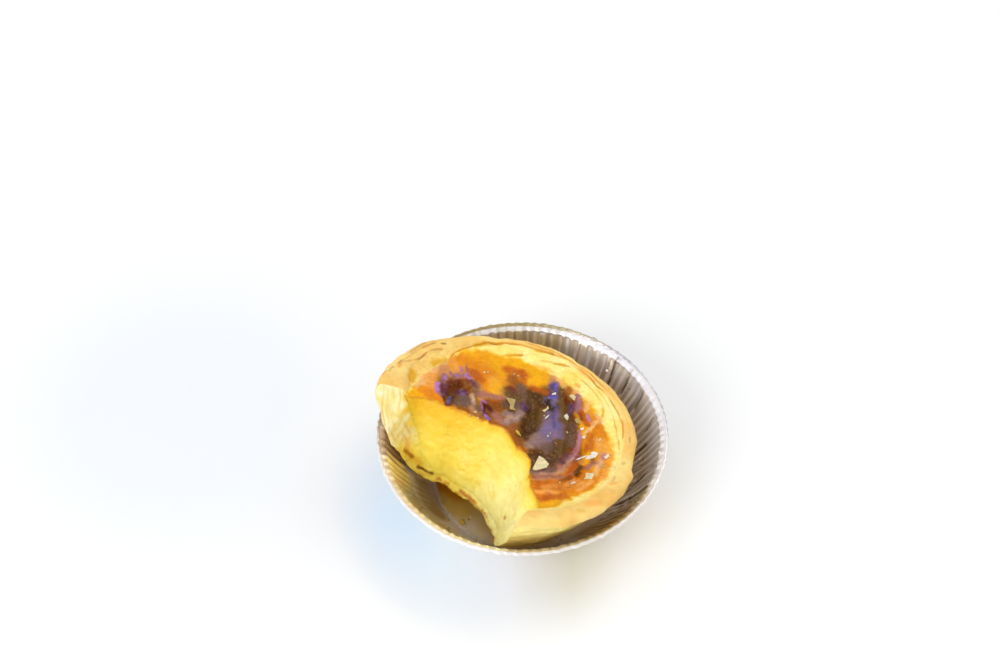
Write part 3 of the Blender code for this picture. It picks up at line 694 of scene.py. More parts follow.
# Burnt marks on the torn pastry and custard: (colour, from x, y, z, to x, y, z, half width, strength)
TORN_MARKS = (
    ("char", -22.4, 3.3, 6.3, -20.0, 3.3, 4.0, 0.9, 0.85),
    ("char", -18.2, 2.4, 1.9, -14.5, 0.4, 1.9, 0.7, 0.85),
    ("honey", -22.4, 4.2, 9.4, -21.8, 3.8, 7.0, 1.5, 0.8),
    ("amber", -22.5, 3.6, 6.0, -18.0, 2.6, 3.0, 1.6, 0.5),
    ("crust", 2.2, -16.2, 6.6, 2.8, -15.4, 5.8, 0.9, 0.95),
    ("rust", -7.2, -3.4, 0.9, -3.0, -7.2, 0.7, 0.9, 0.7),
    ("rust", -13.0, 0.6, 0.6, -8.6, -2.2, 0.6, 0.7, 0.6),
    ("rust", -1.6, -9.0, 0.6, -0.6, -12.4, 0.8, 0.7, 0.6),
)

# Pastry flakes on the skin: (how white, its outline)
FLAKES = (
    (0.55, ((8.1, -8.3), (9.2, -9.0), (10.4, -10.7), (9.8, -11.8), (7.2, -13.0), (6.3, -12.8), (7.0, -11.0))),
    (1.00, ((17.4, -7.5), (19.4, -6.5), (21.8, -4.3), (23.1, -4.7), (22.2, -6.4), (20.4, -7.8), (19.5, -8.1),
            (20.2, -7.0), (18.0, -7.5))),
    (0.15, ((0.5, 10.3), (2.9, 10.1), (2.4, 7.3), (2.8, 6.2), (1.4, 6.8), (1.5, 8.6))),
    (0.60, ((19.6, -11.6), (21.4, -12.2), (20.8, -14.0), (18.7, -14.4), (19.3, -13.2))),
    (0.10, ((18.6, 6.9), (19.4, 5.6), (19.2, 4.9), (18.2, 5.4), (17.9, 6.5))),
    (0.85, ((15.8, 7.5), (16.3, 6.8), (16.0, 5.2), (15.1, 4.4), (14.7, 5.4))),
    (0.45, ((17.7, 15.7), (18.7, 14.6), (18.3, 13.1), (17.6, 14.0), (17.0, 14.8))),
    (0.50, ((10.9, 9.0), (11.2, 8.2), (10.3, 7.2), (9.7, 7.7), (10.6, 8.1))),
    (0.90, ((11.0, 5.1), (10.7, 4.3), (9.8, 3.5), (10.1, 4.3))),
    (0.80, ((25.6, -4.5), (25.7, -5.4), (24.9, -6.5), (24.4, -5.8))),
    (0.05, ((2.8, -0.2), (3.4, -0.7), (4.0, -1.9), (3.1, -1.5), (2.6, -0.8))),
    (0.75, ((16.6, -14.7), (16.9, -15.3), (15.8, -16.1), (15.6, -15.5))),
    (0.95, ((13.3, 13.9), (13.2, 13.2), (12.1, 12.9), (12.4, 13.4))),
    (0.20, ((15.2, 17.8), (15.8, 17.1), (15.3, 16.4), (14.9, 17.0))),
    (0.95, ((20.0, 3.8), (19.9, 3.0), (19.0, 2.5), (19.1, 3.3))),
    (0.70, ((20.2, 0.7), (20.0, -0.1), (19.2, -0.3), (19.4, 0.4))),
)
FLAKE_THICKNESS = 0.28
FLAKE_TILT = 0.12
FLAKE_ABOVE_SKIN = 0.12
FLAKE_BELOW_SKIN = 0.05
# Crumbs in the tin: (x, y, z, size, how white)
TIN_CRUMBS = (
    (-15.0, -13.6, 0.75, 1.3, 0.05),
    (-13.4, -12.6, 0.45, 0.5, 0.1),
    (-12.9, -12.0, 0.45, 0.4, 0.9),
    (-20.6, -6.0, 0.5, 0.5, 0.5),
    (33.7, -5.8, 19.0, 0.8, 0.9),
    (21.9, 22.6, 16.2, 0.7, 0.9),
)
# crumbs on the skin, scattered about these places: (x, y, spread, how many)
SKIN_CRUMBS = (
    (-7.6, 3.6, 1.4, 6),
    (-5.0, 18.6, 1.2, 3),
    (23.4, 0.0, 2.0, 5),
    (24.0, -9.0, 2.5, 4),
    (12.0, -2.0, 6.0, 5),
    (4.5, 20.0, 1.6, 3),
    (19.0, 14.0, 3.0, 3),
    (14.0, -15.5, 3.0, 3),
)


# Small sums that everything below uses


def clamp(value, low=0.0, high=1.0):
    return np.clip(value, low, high)


def smooth(share):
    share = clamp(share)
    return share * share * (3.0 - 2.0 * share)


def bump(distance, half_width):
    """1 at no distance, falling smoothly to 0 at half_width."""
    return 1.0 - smooth(np.abs(distance) / half_width)


def turn_between(angle, middle):
    """How far an angle is from another one, from 0 to 180 degrees."""
    return np.abs((angle - middle + 180.0) % 360.0 - 180.0)


def waves(places, size, seed=0.0):
    """Smooth unevenness from about -1 to 1, whose swells are about as far apart as size."""
    return np.array([noise.noise(place) for place in (places / size + seed).tolist()])


def around(angle, per_turn, seed):
    """Unevenness that runs round the tart without a seam."""
    turn = np.radians(angle)
    ring = np.stack([np.cos(turn), np.sin(turn), np.zeros_like(turn)], -1) * per_turn
    ring[:, 2] = seed
    return waves(ring, 1.0)


def flat(x, y, level=0.0):
    return np.stack([x, y, np.full_like(x, level)], -1)


def arc_share(x, y, centre_x, centre_y, radius, first, last, half_width):
    """1 on the middle of an arc, falling to 0 at its sides and its ends."""
    angle = np.degrees(np.arctan2(y - centre_y, x - centre_x))
    half_turn = (last - first) / 2.0
    fade = clamp((half_turn - turn_between(angle, (first + last) / 2.0)) / FOLD_FADE)
    return fade * bump(np.hypot(x - centre_x, y - centre_y) - radius, half_width)


def streak_share(x, y, from_x, from_y, to_x, to_y, half_width):
    """1 on a straight line between two points, falling to 0 at half_width from it."""
    length_squared = (to_x - from_x) ** 2 + (to_y - from_y) ** 2
    along = clamp(((x - from_x) * (to_x - from_x) + (y - from_y) * (to_y - from_y)) / length_squared)
    off = np.hypot(x - from_x - along * (to_x - from_x), y - from_y - along * (to_y - from_y))
    return bump(off, half_width)


def warped(x, y, size, amount, seed):
    """Shifts places a little, so that nothing drawn on them has a smooth edge."""
    return x + amount * waves(flat(x, y, seed), size), y + amount * waves(flat(x, y, seed + 5.0), size)


def rounded_line(points, times):
    """Cuts a line's corners off, again and again, until it is a smooth curve."""
    line = np.array(points, float)
    for _ in range(times):
        first, second = line[:-1], line[1:]
        cut = np.stack([first * 0.75 + second * 0.25, first * 0.25 + second * 0.75], 1).reshape(-1, 2)
        line = np.concatenate([line[:1], cut, line[-1:]])
    return line


# Colours


def pigment(name):
    return np.array(PIGMENTS[name], float)


def blended(share, under, over):
    """One colour laid over another by each point's own share."""
    return under + np.asarray(share)[..., None] * (over - under)


def stroked(x, y, colour, strokes):
    """Lays soft strokes over each point's colour, one after the other."""
    for name, from_x, from_y, to_x, to_y, half_width, strength in strokes:
        share = strength * clamp(1.35 * streak_share(x, y, from_x, from_y, to_x, to_y, half_width))
        colour = blended(share, colour, pigment(name))
    return colour


def made_linear(colour):
    share = clamp(colour / 255.0)
    return np.where(share <= 0.04045, share / 12.92, ((share + 0.055) / 1.055) ** 2.4)


# Meshes


def sleeve(columns, rows):
    """A closed cylinder with even rows from height 0 to 1, to be shaped by moving its points."""
    bm = bmesh.new()
    bmesh.ops.create_cone(bm, cap_ends=True, segments=columns, radius1=1.0, radius2=1.0, depth=1.0,
                          matrix=Matrix.Translation((0.0, 0.0, 0.5)))
    uprights = [e for e in bm.edges if abs(e.verts[0].co.z - e.verts[1].co.z) > 0.5]
    bmesh.ops.subdivide_edges(bm, edges=uprights, cuts=rows - 1, use_grid_fill=True)
    return bm


def mesh_from(bm, name):
    mesh = bpy.data.meshes.new(name)
    bm.to_mesh(mesh)
    bm.free()
    return mesh


def points_of(mesh):
    points = np.empty(len(mesh.vertices) * 3)
    mesh.vertices.foreach_get("co", points)
    return points.reshape(-1, 3)


def move_points(mesh, x, y, z):
    mesh.vertices.foreach_set("co", np.stack([x, y, z], -1).astype(np.float32).ravel())
    mesh.update()


def columns_and_rows(mesh, rows):
    """The angle and the number of the row of each point of a sleeve."""
    points = points_of(mesh)
    angle = np.degrees(np.arctan2(points[:, 1], points[:, 0]))
    return angle, np.rint(points[:, 2] * rows).astype(int)


def store(mesh, name, values):
    """Keeps a number for each point, for the finish to read."""
    layer = mesh.attributes.get(name) or mesh.attributes.new(name, "FLOAT", "POINT")
    layer.data.foreach_set("value", np.asarray(values, np.float32))


def paint(mesh, colour):
    """Keeps a colour for each point."""
    layer = mesh.attributes.get("paint") or mesh.attributes.new("paint", "FLOAT_COLOR", "POINT")
    values = np.concatenate([made_linear(colour), np.ones((len(colour), 1))], 1)
    layer.data.foreach_set("color", values.astype(np.float32).ravel())


def piece_from(mesh, name, slot, *nodes):
    """Puts a finished mesh in the scene as a piece that stands for these nodes."""
    piece = bpy.data.objects.new(name, mesh)
    bpy.context.scene.collection.objects.link(piece)
    mesh.shade_smooth()
    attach(piece, "root")
    if nodes:
        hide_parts(*nodes)
    return piece


def lean_into_tin(mesh):
    """From the tart's own frame in millimetres to the row frame in metres."""
    turn = Euler((math.radians(LEAN[0]), math.radians(LEAN[1]), 0.0)).to_matrix().to_4x4()
    mesh.transform(Matrix.Scale(MM, 4) @ Matrix.Translation(FOOT_CENTRE) @ turn)


# Finishes


def seen(red, green, blue):
    """A colour as a picture shows it, from 0 to 255, made linear."""
    return tuple(made_linear(np.array([red, green, blue], float)).tolist()) + (1.0,)


def add(tree, kind, sockets=None, **settings):
    """Adds a node; each socket takes a value or another node's output."""
    made = tree.nodes.new(kind)
    for name, value in settings.items():
        setattr(made, name, value)
    for socket, value in (sockets or {}).items():
        if isinstance(value, bpy.types.NodeSocket):
            tree.links.new(value, made.inputs[socket])
        else:
            made.inputs[socket].default_value = value
    return made


def finish(name, **sockets):
    """A new material with its Principled shader's plain values, such as Roughness=0.3."""
    made = bpy.data.materials.new(name)
    made.use_nodes = True
    shader = made.node_tree.nodes["Principled BSDF"]
    for socket, value in sockets.items():
        shader.inputs[socket.replace("_", " ")].default_value = value
    return made, made.node_tree, shader


def cloud(tree, size, detail=3.0, roughness=0.5, stretch=None):
    """Noise from 0 to 1 on the piece's own coordinates, its swells about size millimetres apart."""
    place = add(tree, "ShaderNodeTexCoord").outputs["Object"]
    if stretch:
        place = add(tree, "ShaderNodeMapping", {"Vector": place, "Scale": stretch}).outputs["Vector"]
    return add(tree, "ShaderNodeTexNoise", {"Vector": place, "Scale": 1.0 / (size * MM), "Detail": detail,
                                            "Roughness": roughness}).outputs["Fac"]


def layer(tree, name):
    return add(tree, "ShaderNodeAttribute", attribute_name=name).outputs["Fac"]


def painted(tree):
    return add(tree, "ShaderNodeAttribute", attribute_name="paint").outputs["Color"]


def shaded(tree, colour, share, low, high):
    """Makes a colour darker and lighter by a share from 0 to 1."""
    grey = between(tree, share, 0.3, 0.7, low, high)
    tone = add(tree, "ShaderNodeCombineXYZ", {"X": grey, "Y": grey, "Z": grey}).outputs["Vector"]
    return add(tree, "ShaderNodeVectorMath", {0: colour, 1: tone}, operation="MULTIPLY").outputs["Vector"]


def sum_of(tree, operation, first, second):
    return add(tree, "ShaderNodeMath", {0: first, 1: second}, operation=operation).outputs["Value"]


def between(tree, value, low, high, to_low=0.0, to_high=1.0):
    """Stretches the part of a value from low to high over another range."""
    return add(tree, "ShaderNodeMapRange", {"Value": value, "From Min": low, "From Max": high,
                                            "To Min": to_low, "To Max": to_high}).outputs["Result"]


def shades(tree, value, stops):
    """Colours along a value: (place, colour) for each stop."""
    made = add(tree, "ShaderNodeValToRGB", {"Fac": value})
    scale = made.color_ramp
    while len(scale.elements) < len(stops):
        scale.elements.new(1.0)
    for element, (place, colour) in zip(scale.elements, stops):
        element.position = place
        element.color = colour
    return made.outputs["Color"]


def mixed(tree, share, under, over):
    """One colour laid over another by a share."""
    made = add(tree, "ShaderNodeMix", data_type="RGBA")
    for socket, value in ((made.inputs["Factor"], share), (made.inputs[6], under), (made.inputs[7], over)):
        if isinstance(value, bpy.types.NodeSocket):
            tree.links.new(value, socket)
        else:
            socket.default_value = value
    return made.outputs[2]


def relief(tree, shader, *bumps):
    """Fine relief from (height, depth in millimetres, strength), each on top of the one before."""
    normal = None
    for height, depth, strength in bumps:
        sockets = {"Height": height, "Distance": depth * MM, "Strength": strength}
        if normal:
            sockets["Normal"] = normal
        normal = add(tree, "ShaderNodeBump", sockets).outputs["Normal"]
    tree.links.new(normal, shader.inputs["Normal"])


def foil_finish():
    made, tree, shader = finish("rolled_foil")
    mirrored = shaded(tree, painted(tree), cloud(tree, 3.0, 4.0), 0.94, 1.05)
    tree.links.new(mirrored, shader.inputs["Base Color"])
    tree.links.new(between(tree, layer(tree, "dull"), 0.0, 1.0, 0.72, 0.25), shader.inputs["Metallic"])
    tree.links.new(between(tree, cloud(tree, 4.0, 3.0), 0.3, 0.7, 0.26, 0.36), shader.inputs["Roughness"])
    relief(tree, shader, (cloud(tree, 4.0, 2.0), 0.15, 0.3))
    return made


def outer_foil_finish():
    made, tree, shader = finish("outer_foil", Metallic=0.7)
    silver = shaded(tree, seen(240, 234, 230)[:3], cloud(tree, 3.0, 4.0), 0.92, 1.05)
    tree.links.new(silver, shader.inputs["Base Color"])
    tree.links.new(between(tree, cloud(tree, 4.0, 3.0), 0.3, 0.7, 0.26, 0.38), shader.inputs["Roughness"])
    relief(tree, shader, (cloud(tree, 4.0, 2.0), 0.15, 0.3))
    return made


def pastry_finish():
    made, tree, shader = finish("baked_leaves", Roughness=0.5, Subsurface_Weight=0.15, Coat_Weight=0.08,
                                Coat_Roughness=0.35, Subsurface_Scale=0.0015, Specular_IOR_Level=0.3)
    shader.inputs["Subsurface Radius"].default_value = (1.0, 0.6, 0.25)
    browned = mixed(tree, between(tree, cloud(tree, 0.9, 3.0), 0.60, 0.80, 0.0, 0.35), painted(tree),
                    seen(214, 150, 72))
    tree.links.new(shaded(tree, browned, cloud(tree, 2.5, 4.0), 0.93, 1.05), shader.inputs["Base Color"])
    relief(tree, shader, (cloud(tree, 1.4, 4.0), 0.18, 0.5), (cloud(tree, 0.3, 3.0), 0.05, 0.4))
    return made


def torn_pastry_finish():
    made, tree, shader = finish("torn_leaves", Roughness=0.65, Subsurface_Weight=0.25, Subsurface_Scale=0.002,
                                Specular_IOR_Level=0.3)
    shader.inputs["Subsurface Radius"].default_value = (1.0, 0.7, 0.3)
    clouded = shaded(tree, painted(tree), cloud(tree, 1.5, 4.0), 0.92, 1.06)
    tree.links.new(clouded, shader.inputs["Base Color"])
    relief(tree, shader, (cloud(tree, 1.4, 4.0), 0.22, 0.5), (cloud(tree, 0.35, 3.0), 0.05, 0.4))
    return made


def skin_finish():
    made, tree, shader = finish("scorched_skin", Coat_Weight=0.08, Coat_Roughness=0.12,
                                Subsurface_Weight=0.08, Subsurface_Scale=0.0012, Specular_IOR_Level=0.08)
    shader.inputs["Subsurface Radius"].default_value = (1.0, 0.5, 0.15)
    grained = shaded(tree, painted(tree), cloud(tree, 1.0, 5.0, 0.65), 0.84, 1.16)
    # Light flecks on the dark skin: toasted specks, and painted sparkle highlights as well
    specks_and_glints = between(tree, cloud(tree, 0.6, 4.0, 0.7), 0.55, 0.66, 0.0, 0.6)
    burnt = sum_of(tree, "MULTIPLY", layer(tree, "burnt"), specks_and_glints)
    specked_and_glinting = mixed(tree, burnt, grained, seen(170, 124, 66))
    tree.links.new(specked_and_glinting, shader.inputs["Base Color"])
    tree.links.new(between(tree, cloud(tree, 1.4, 3.0), 0.3, 0.7, 0.32, 0.5), shader.inputs["Roughness"])
    relief(tree, shader, (cloud(tree, 1.6, 4.0), 0.20, 0.45), (cloud(tree, 0.45, 4.0), 0.06, 0.4))
    return made


def custard_finish():
    made, tree, shader = finish("set_custard", Roughness=0.5, Subsurface_Weight=0.3, Subsurface_Scale=0.003,
                                Coat_Weight=0.1, Coat_Roughness=0.3, Specular_IOR_Level=0.35)
    shader.inputs["Subsurface Radius"].default_value = (1.0, 0.75, 0.25)
    spotted = mixed(tree, between(tree, cloud(tree, 3.0, 3.0), 0.55, 0.72, 0.0, 0.5), painted(tree),
                    seen(240, 208, 34))
    tree.links.new(shaded(tree, spotted, cloud(tree, 1.6, 4.0), 0.95, 1.04), shader.inputs["Base Color"])
    relief(tree, shader, (cloud(tree, 1.8, 4.0), 0.25, 0.5), (cloud(tree, 0.4, 3.0), 0.04, 0.4))
    return made


def crumb_finish():
    made, tree, shader = finish("dry_crumb", Roughness=0.6, Subsurface_Weight=0.2, Subsurface_Scale=0.001,
                                Specular_IOR_Level=0.3)
    colour = shades(tree, layer(tree, "white"), (
        (0.0, seen(226, 186, 40)),
        (0.12, seen(180, 152, 84)),
        (0.5, seen(232, 212, 156)),
        (1.0, seen(246, 236, 226)),
    ))
    tree.links.new(shaded(tree, colour, cloud(tree, 0.9, 3.0), 0.82, 1.1), shader.inputs["Base Color"])
    relief(tree, shader, (cloud(tree, 0.5, 3.0), 0.1, 0.6))
    return made


def table_finish():
    made, tree, shader = finish("white_table", Roughness=0.55)
    place = add(tree, "ShaderNodeTexCoord").outputs["Object"]
    axes = add(tree, "ShaderNodeSeparateXYZ", {"Vector": place}).outputs
    off = add(tree, "ShaderNodeVectorMath", {0: place}, operation="LENGTH").outputs["Value"]
    # Painted shade: the tin's soft shadow before it, cool to warm, and a painted grey shadow far left
    before = between(tree, axes["Y"], SHADE_FULL_Y, SHADE_END_Y, 1.0, 0.0)
    shade = sum_of(tree, "MULTIPLY", between(tree, off, SHADE_NEAR, SHADE_FAR, 1.0, 0.0), before)
    tint = shades(tree, between(tree, axes["X"], SHADE_LEFT, SHADE_RIGHT), (
        (0.0, seen(214, 236, 255)),
        (0.25, seen(234, 247, 255)),
        (0.55, seen(244, 246, 248)),
        (0.8, seen(230, 226, 206)),
        (1.0, seen(242, 239, 228)),
    ))
    away = add(tree, "ShaderNodeVectorMath", {0: place, 1: FAR_SHADOW_AT}, operation="DISTANCE").outputs["Value"]
    grey = between(tree, away, FAR_SHADOW_NEAR, FAR_SHADOW_FAR, 0.9, 0.0)
    colour = mixed(tree, grey, seen(248, 248, 246), seen(232, 235, 238))
    tree.links.new(mixed(tree, shade, colour, tint), shader.inputs["Base Color"])
    return made


# The foil tin


def foil_rows():
    """(radius, height, share of the pleats) from the middle of the floor to the end of the curled hem."""
    rows = [(radius, FOIL, 0.0) for radius in np.linspace(4.0, FLOOR_RADIUS - 0.7, 14)]
    rows += [(FLOOR_RADIUS - 0.35, FOIL + 0.08, 0.0), (FLOOR_RADIUS + 0.1, FOIL + 0.35, 0.0)]
    for share in np.linspace(0.04, 1.0, 32):
        bulge = WALL_BULGE * math.sin(math.pi * share)
        radius = FLOOR_RADIUS + (WALL_TOP_RADIUS - FLOOR_RADIUS) * share + bulge
        rows.append((radius, FOIL + (WALL_TOP - FOIL) * share, math.sqrt(max(share - 0.04, 0.0))))
    rows += [(radius, TIN_HEIGHT - down, RIM_SHARE_OF_PLEATS) for radius, down in rounded_line(FOIL_RIM, 1)]
    return np.array(rows)


def pleats(angle):
    """Each point's fold: its number, how far across it the point is, where its crest stands, and the draw."""
    draw = np.random.default_rng(SEED)
    phase = (angle % 360.0) / 360.0 * PLEATS
    number = np.floor(phase).astype(int) % PLEATS
    crest = draw.uniform(0.32, 0.68, PLEATS)[number]
    return number, phase - np.floor(phase), crest, draw


def oval_share(angle, share, at, at_share, half_turn, half_share):
    """1 in the middle of an oval patch of the wall, falling to 0 at its edge."""
    return bump(np.hypot(turn_between(angle, at) / half_turn, (share - at_share) / half_share), 1.0)


def pleat_depth(angle, share):
    """How far out each point goes for the foil's pleats. Each fold has its own depth, crest and foot."""
    number, along, crest, draw = pleats(angle)
    deep = draw.uniform(0.5, 1.5, PLEATS)[number]
    foot = draw.uniform(0.0, 0.35, PLEATS)[number]
    ridge = np.minimum(along / crest, (1.0 - along) / (1.0 - crest))
    risen = smooth((share - foot) / 0.35)
    kept = np.ones_like(angle)
    for *oval, flat_share in PRESSED:
        kept -= flat_share * oval_share(angle, share, *oval)
    return PLEAT_DEPTH * (deep * risen * clamp(kept) * ridge ** 0.8 - 0.5)


def wall_colour(angle, share):
    """The strokes of painted reflection, highlight and crease shade on the wall, laid out flat."""
    across, up = WALL_MM_PER_DEGREE, WALL_MM
    strokes = [(name, first * across, low * up, last * across, high * up, half_width, strength)
               for name, first, low, last, high, half_width, strength in FOIL_STROKES]
    place = warped(angle * across, share * up, 2.0, 0.15, 91.0)
    return stroked(*place, np.tile(pigment("film"), (len(angle), 1)), strokes)


def floor_colour(x, y):
    # Butter on the floor, also painting the tart's shaded underside as mirrored there
    butter_and_reflection_tone = blended(BUTTER_AND_REFLECTION_FILM, pigment("film"), pigment("butter"))
    return stroked(x, y, np.tile(butter_and_reflection_tone, (len(x), 1)), FLOOR_STROKES)


def hem_shade_band(angle, radius):
    """How strongly the curled hem's dull band of painted shade and dark reflection shows at each point, and
    its colour there.
    """
    at, begin, strength = (np.array([row[column] for row in HEM_SHADE]) for column in range(3))
    ragged = 0.12 * around(angle, 60.0, 17.0)
    band = np.interp(angle, at, strength) * smooth((radius - np.interp(angle, at, begin) + ragged) / 0.25)
    colour = np.stack([np.interp(angle, at, [row[3][channel] for row in HEM_SHADE]) for channel in range(3)], -1)
    return band, colour * (1.0 + 0.12 * around(angle, 50.0, 37.0))[:, None]


def foil_gleam(angle, share, radius, along, crest, number, draw):
    """Painted highlights where the foil shines white at the back right: on some folds under the rim and on
    the sloping flare.
    """
    back = bump(turn_between(angle, BACK_RIGHT[0]), BACK_RIGHT[1])
    bright = draw.uniform(0.0, 1.0, PLEATS)[number] ** 2
    reach = draw.uniform(0.78, 0.95, PLEATS)[number]
    on_folds = bright * back * bump(along - crest, 0.3) * smooth((share - reach) / 0.08)
    flare = smooth((radius - WALL_TOP_RADIUS + 0.15) / 0.3) * clamp(2.5 * back)
    return np.maximum(0.9 * on_folds, 0.85 * flare * clamp(0.75 + 0.5 * around(angle, 30.0, 27.0)))


def foil_colour(angle, share, radius, x, y):
    """The foil's colour and how dull it is: painted strokes of reflection and shade, painted pleat light,
    painted gleams, the buttered floor and the hem's painted shade.
    """
    number, along, crest, draw = pleats(angle)
    angle = (angle - STROKES_FROM) % 360.0 + STROKES_FROM
    tone = draw.uniform(-1.0, 1.0, PLEATS)[number]
    on_floor = 1.0 - smooth((share - 0.01) / 0.03)
    colour = blended(on_floor, wall_colour(angle, share), floor_colour(x, y))
    # A painted highlight along the pressed line round the floor's edge on the left
    foot_line = bump(angle - LEFT[0], FOOT_LINE_HALF_TURN)
    colour = blended(0.9 * foot_line * bump(radius - FLOOR_RADIUS, 0.5), colour, pigment("pearl_highlight"))
    # Painted light and shade on the pleats: each fold's rising side lighter, its falling side darker, less so
    # on the left
    folded = smooth((share - 0.1) / 0.3) * (1.0 - 0.6 * bump(turn_between(angle, LEFT[0]), LEFT[1]))
    lit = np.where(along < crest, 1.0, -1.0) * 0.10 + 0.07 * tone
    colour = colour * (1.0 + folded * lit)[:, None]
    # Painted highlights, made dull below so that their white shows
    gleam = foil_gleam(angle, share, radius, along, crest, number, draw)
    colour = blended(gleam, colour, pigment("pearl_highlight"))
    white = smooth((radius - WHITE_FROM) / 0.5)
    colour = blended(0.9 * white, colour, pigment("film"))
    # The curled hem's painted shade and dark reflection
    hem, hem_colour = hem_shade_band(angle, radius)
    dull = np.maximum(np.maximum(gleam, hem), 0.8 * white)
    wall_dull = 0.3 * bump(turn_between(angle, RIGHT[0]), RIGHT[1]) * folded
    wall_dull += 0.8 * on_floor + foot_line * bump(radius - FLOOR_RADIUS, 0.6)
    return blended(hem, colour, hem_colour), clamp(np.maximum(dull, wall_dull))


def crease_depth(angle, share, radius):
    total = np.zeros_like(angle)
    for first, first_share, last, last_share, half_width, depth in WALL_CREASES:
        along = clamp((share - first_share) / (last_share - first_share))
        line = first + (last - first) * along
        off = np.radians((angle - line + 180.0) % 360.0 - 180.0) * radius
        inside = bump(share - (first_share + last_share) / 2.0, abs(first_share - last_share) * 0.75)
        total += depth * inside * (bump(off, half_width) - 0.5 * bump(off - half_width * 1.6, half_width))
    return total


def dent_depth(angle, share):
    total = np.zeros_like(angle)
    for *oval, depth in WALL_DENTS:
        total += depth * oval_share(angle, share, *oval)
    return total


def foil_outward(angle, share, radius, folds, on_rim, place):
    """How far out each point goes for pleats, creases, dents, a general unevenness and the hem's teeth."""
    free = smooth((share - 0.02) / 0.25) * np.where(on_rim, 0.25, 1.0)
    out = folds * pleat_depth(angle, share)
    out += free * (crease_depth(angle, share, radius) + dent_depth(angle, share))
    out += free * 0.25 * around(angle, 3.0, 5.0)
    out += smooth(share / 0.2) * 0.05 * waves(place, 2.4, 3.0)
    return out + np.where(radius > HEM_FROM, RIM_TEETH * around(angle, 60.0, 21.0), 0.0)


def foil_upward(angle, share, on_rim, place):
    """How far up each point goes for the rim's waves and ribs and the floor's low swells."""
    up = np.where(share > 0.98, 0.06 * around(angle, 30.0, 9.0) + 0.08 * around(angle, 5.0, 11.0), 0.0)
    up += np.where(on_rim, RIM_RIBS / PLEAT_DEPTH * pleat_depth(angle, share), 0.0)
    return up + np.where(share < 0.001, 0.10 * clamp(waves(place, 4.0, 8.0), 0.0, 1.0), 0.0)


def foil_sheet(row_count):
    """An open cup of even cells with a middle point, before it gets its shape."""
    bm = sleeve(PLEATS * PLEAT_COLUMNS, row_count)
    lid = [f for f in bm.faces if f.calc_center_median().z > 0.9999]
    bmesh.ops.delete(bm, geom=lid, context="FACES_ONLY")
    floor = [f for f in bm.faces if len(f.verts) > 4]
    bmesh.ops.poke(bm, faces=floor)
    return mesh_from(bm, "foil_cup")


def foil_cup():
    rows = foil_rows()
    mesh = foil_sheet(len(rows) - 1)
    angle, row = columns_and_rows(mesh, len(rows) - 1)
    radius, height, folds = rows[row].T
    middle = np.hypot(*points_of(mesh)[:, :2].T) < 0.5
    share = clamp((height - FOIL) / (WALL_TOP - FOIL))
    on_rim = radius > FOIL_RIM[0][0] - 0.01
    turn = np.radians(angle)
    place = np.stack([radius * np.cos(turn), radius * np.sin(turn), height], -1)
    out = foil_outward(angle, share, radius, folds, on_rim, place)
    height = np.minimum(height + foil_upward(angle, share, on_rim, place), TIN_HEIGHT)
    radius = np.where(middle, 0.0, radius + out)
    x, y = radius * np.cos(turn), radius * np.sin(turn)
    move_points(mesh, x, y, height)
    colour, dull = foil_colour(angle, share, radius, x, y)
    paint(mesh, colour)
    store(mesh, "dull", dull)
    mesh.transform(Matrix.Scale(MM, 4))
    mesh.materials.append(outer_foil_finish())
    mesh.materials.append(foil_finish())
    cup = piece_from(mesh, "foil_cup", "foil", "foil_tin")
    wall = cup.modifiers.new("thickness", "SOLIDIFY")
    wall.thickness = FOIL * MM
    wall.offset = 1.0
    wall.use_even_offset = False
    wall.material_offset = 1
    return cup


# The tart's common form


def side_radius(height):
    """The pastry's outer radius at a height above the tart's foot."""
    share = height / TART_HEIGHT
    radius = FOOT_RADIUS + (TOP_RADIUS - FOOT_RADIUS) * share + SIDE_BULGE * np.sin(math.pi * share)
    curl = np.sqrt(clamp(FOOT_ROUNDING ** 2 - (FOOT_ROUNDING - height) ** 2, 0.0, FOOT_ROUNDING ** 2))
    return radius - np.where(height < FOOT_ROUNDING, FOOT_ROUNDING - curl, 0.0)


def inside_radius(height):
    """The pastry's inner radius at a height, where the custard begins."""
    low = FOOT_RADIUS - PASTRY_WALL
    share = clamp((height - PASTRY_FLOOR) / (CUSTARD_LEVEL - PASTRY_FLOOR))
    return low + (CUSTARD_EDGE_RADIUS - low) * share + INSIDE_BULGE * np.sin(math.pi * share)


def wall_shift(angle):
    """How far the pastry's inner face lies outside its plain circle in this direction."""
    even = WALL_SHIFT * np.cos(np.radians(angle - WALL_SHIFT_AT))
    return even - THICK_SPOT * bump(turn_between(angle, THICK_SPOT_AT), THICK_SPOT_HALF_WIDTH)


def out_of_round(x, y, z):
    """Makes the wall uneven, draws the tart in beside the bite and swells it on the other side."""
    angle = np.degrees(np.arctan2(y, x))
    radius = np.maximum(np.hypot(x, y), 1.0)
    inside = clamp((side_radius(clamp(z, 0.0, TART_HEIGHT)) - radius) / PASTRY_WALL)
    factor = 1.0 + wall_shift(angle) * clamp(radius / inside_radius(z)) * inside / radius
    drawn = np.sqrt(clamp(1.0 - turn_between(angle, DRAWN_IN_AT) / DRAWN_IN_HALF_WIDTH))
    swell = clamp(np.cos(np.radians(angle - SWELL_AT))) ** 2
    factor *= 1.0 - DRAWN_IN_SHARE * drawn + SWELL / TOP_RADIUS * swell
    reach = np.interp(angle, *np.array(RIM_REACH).T) * smooth((radius - 28.5) / 3.0) * smooth(z / TART_HEIGHT)
    factor += reach / radius
    return x * factor, y * factor, z


# The bite


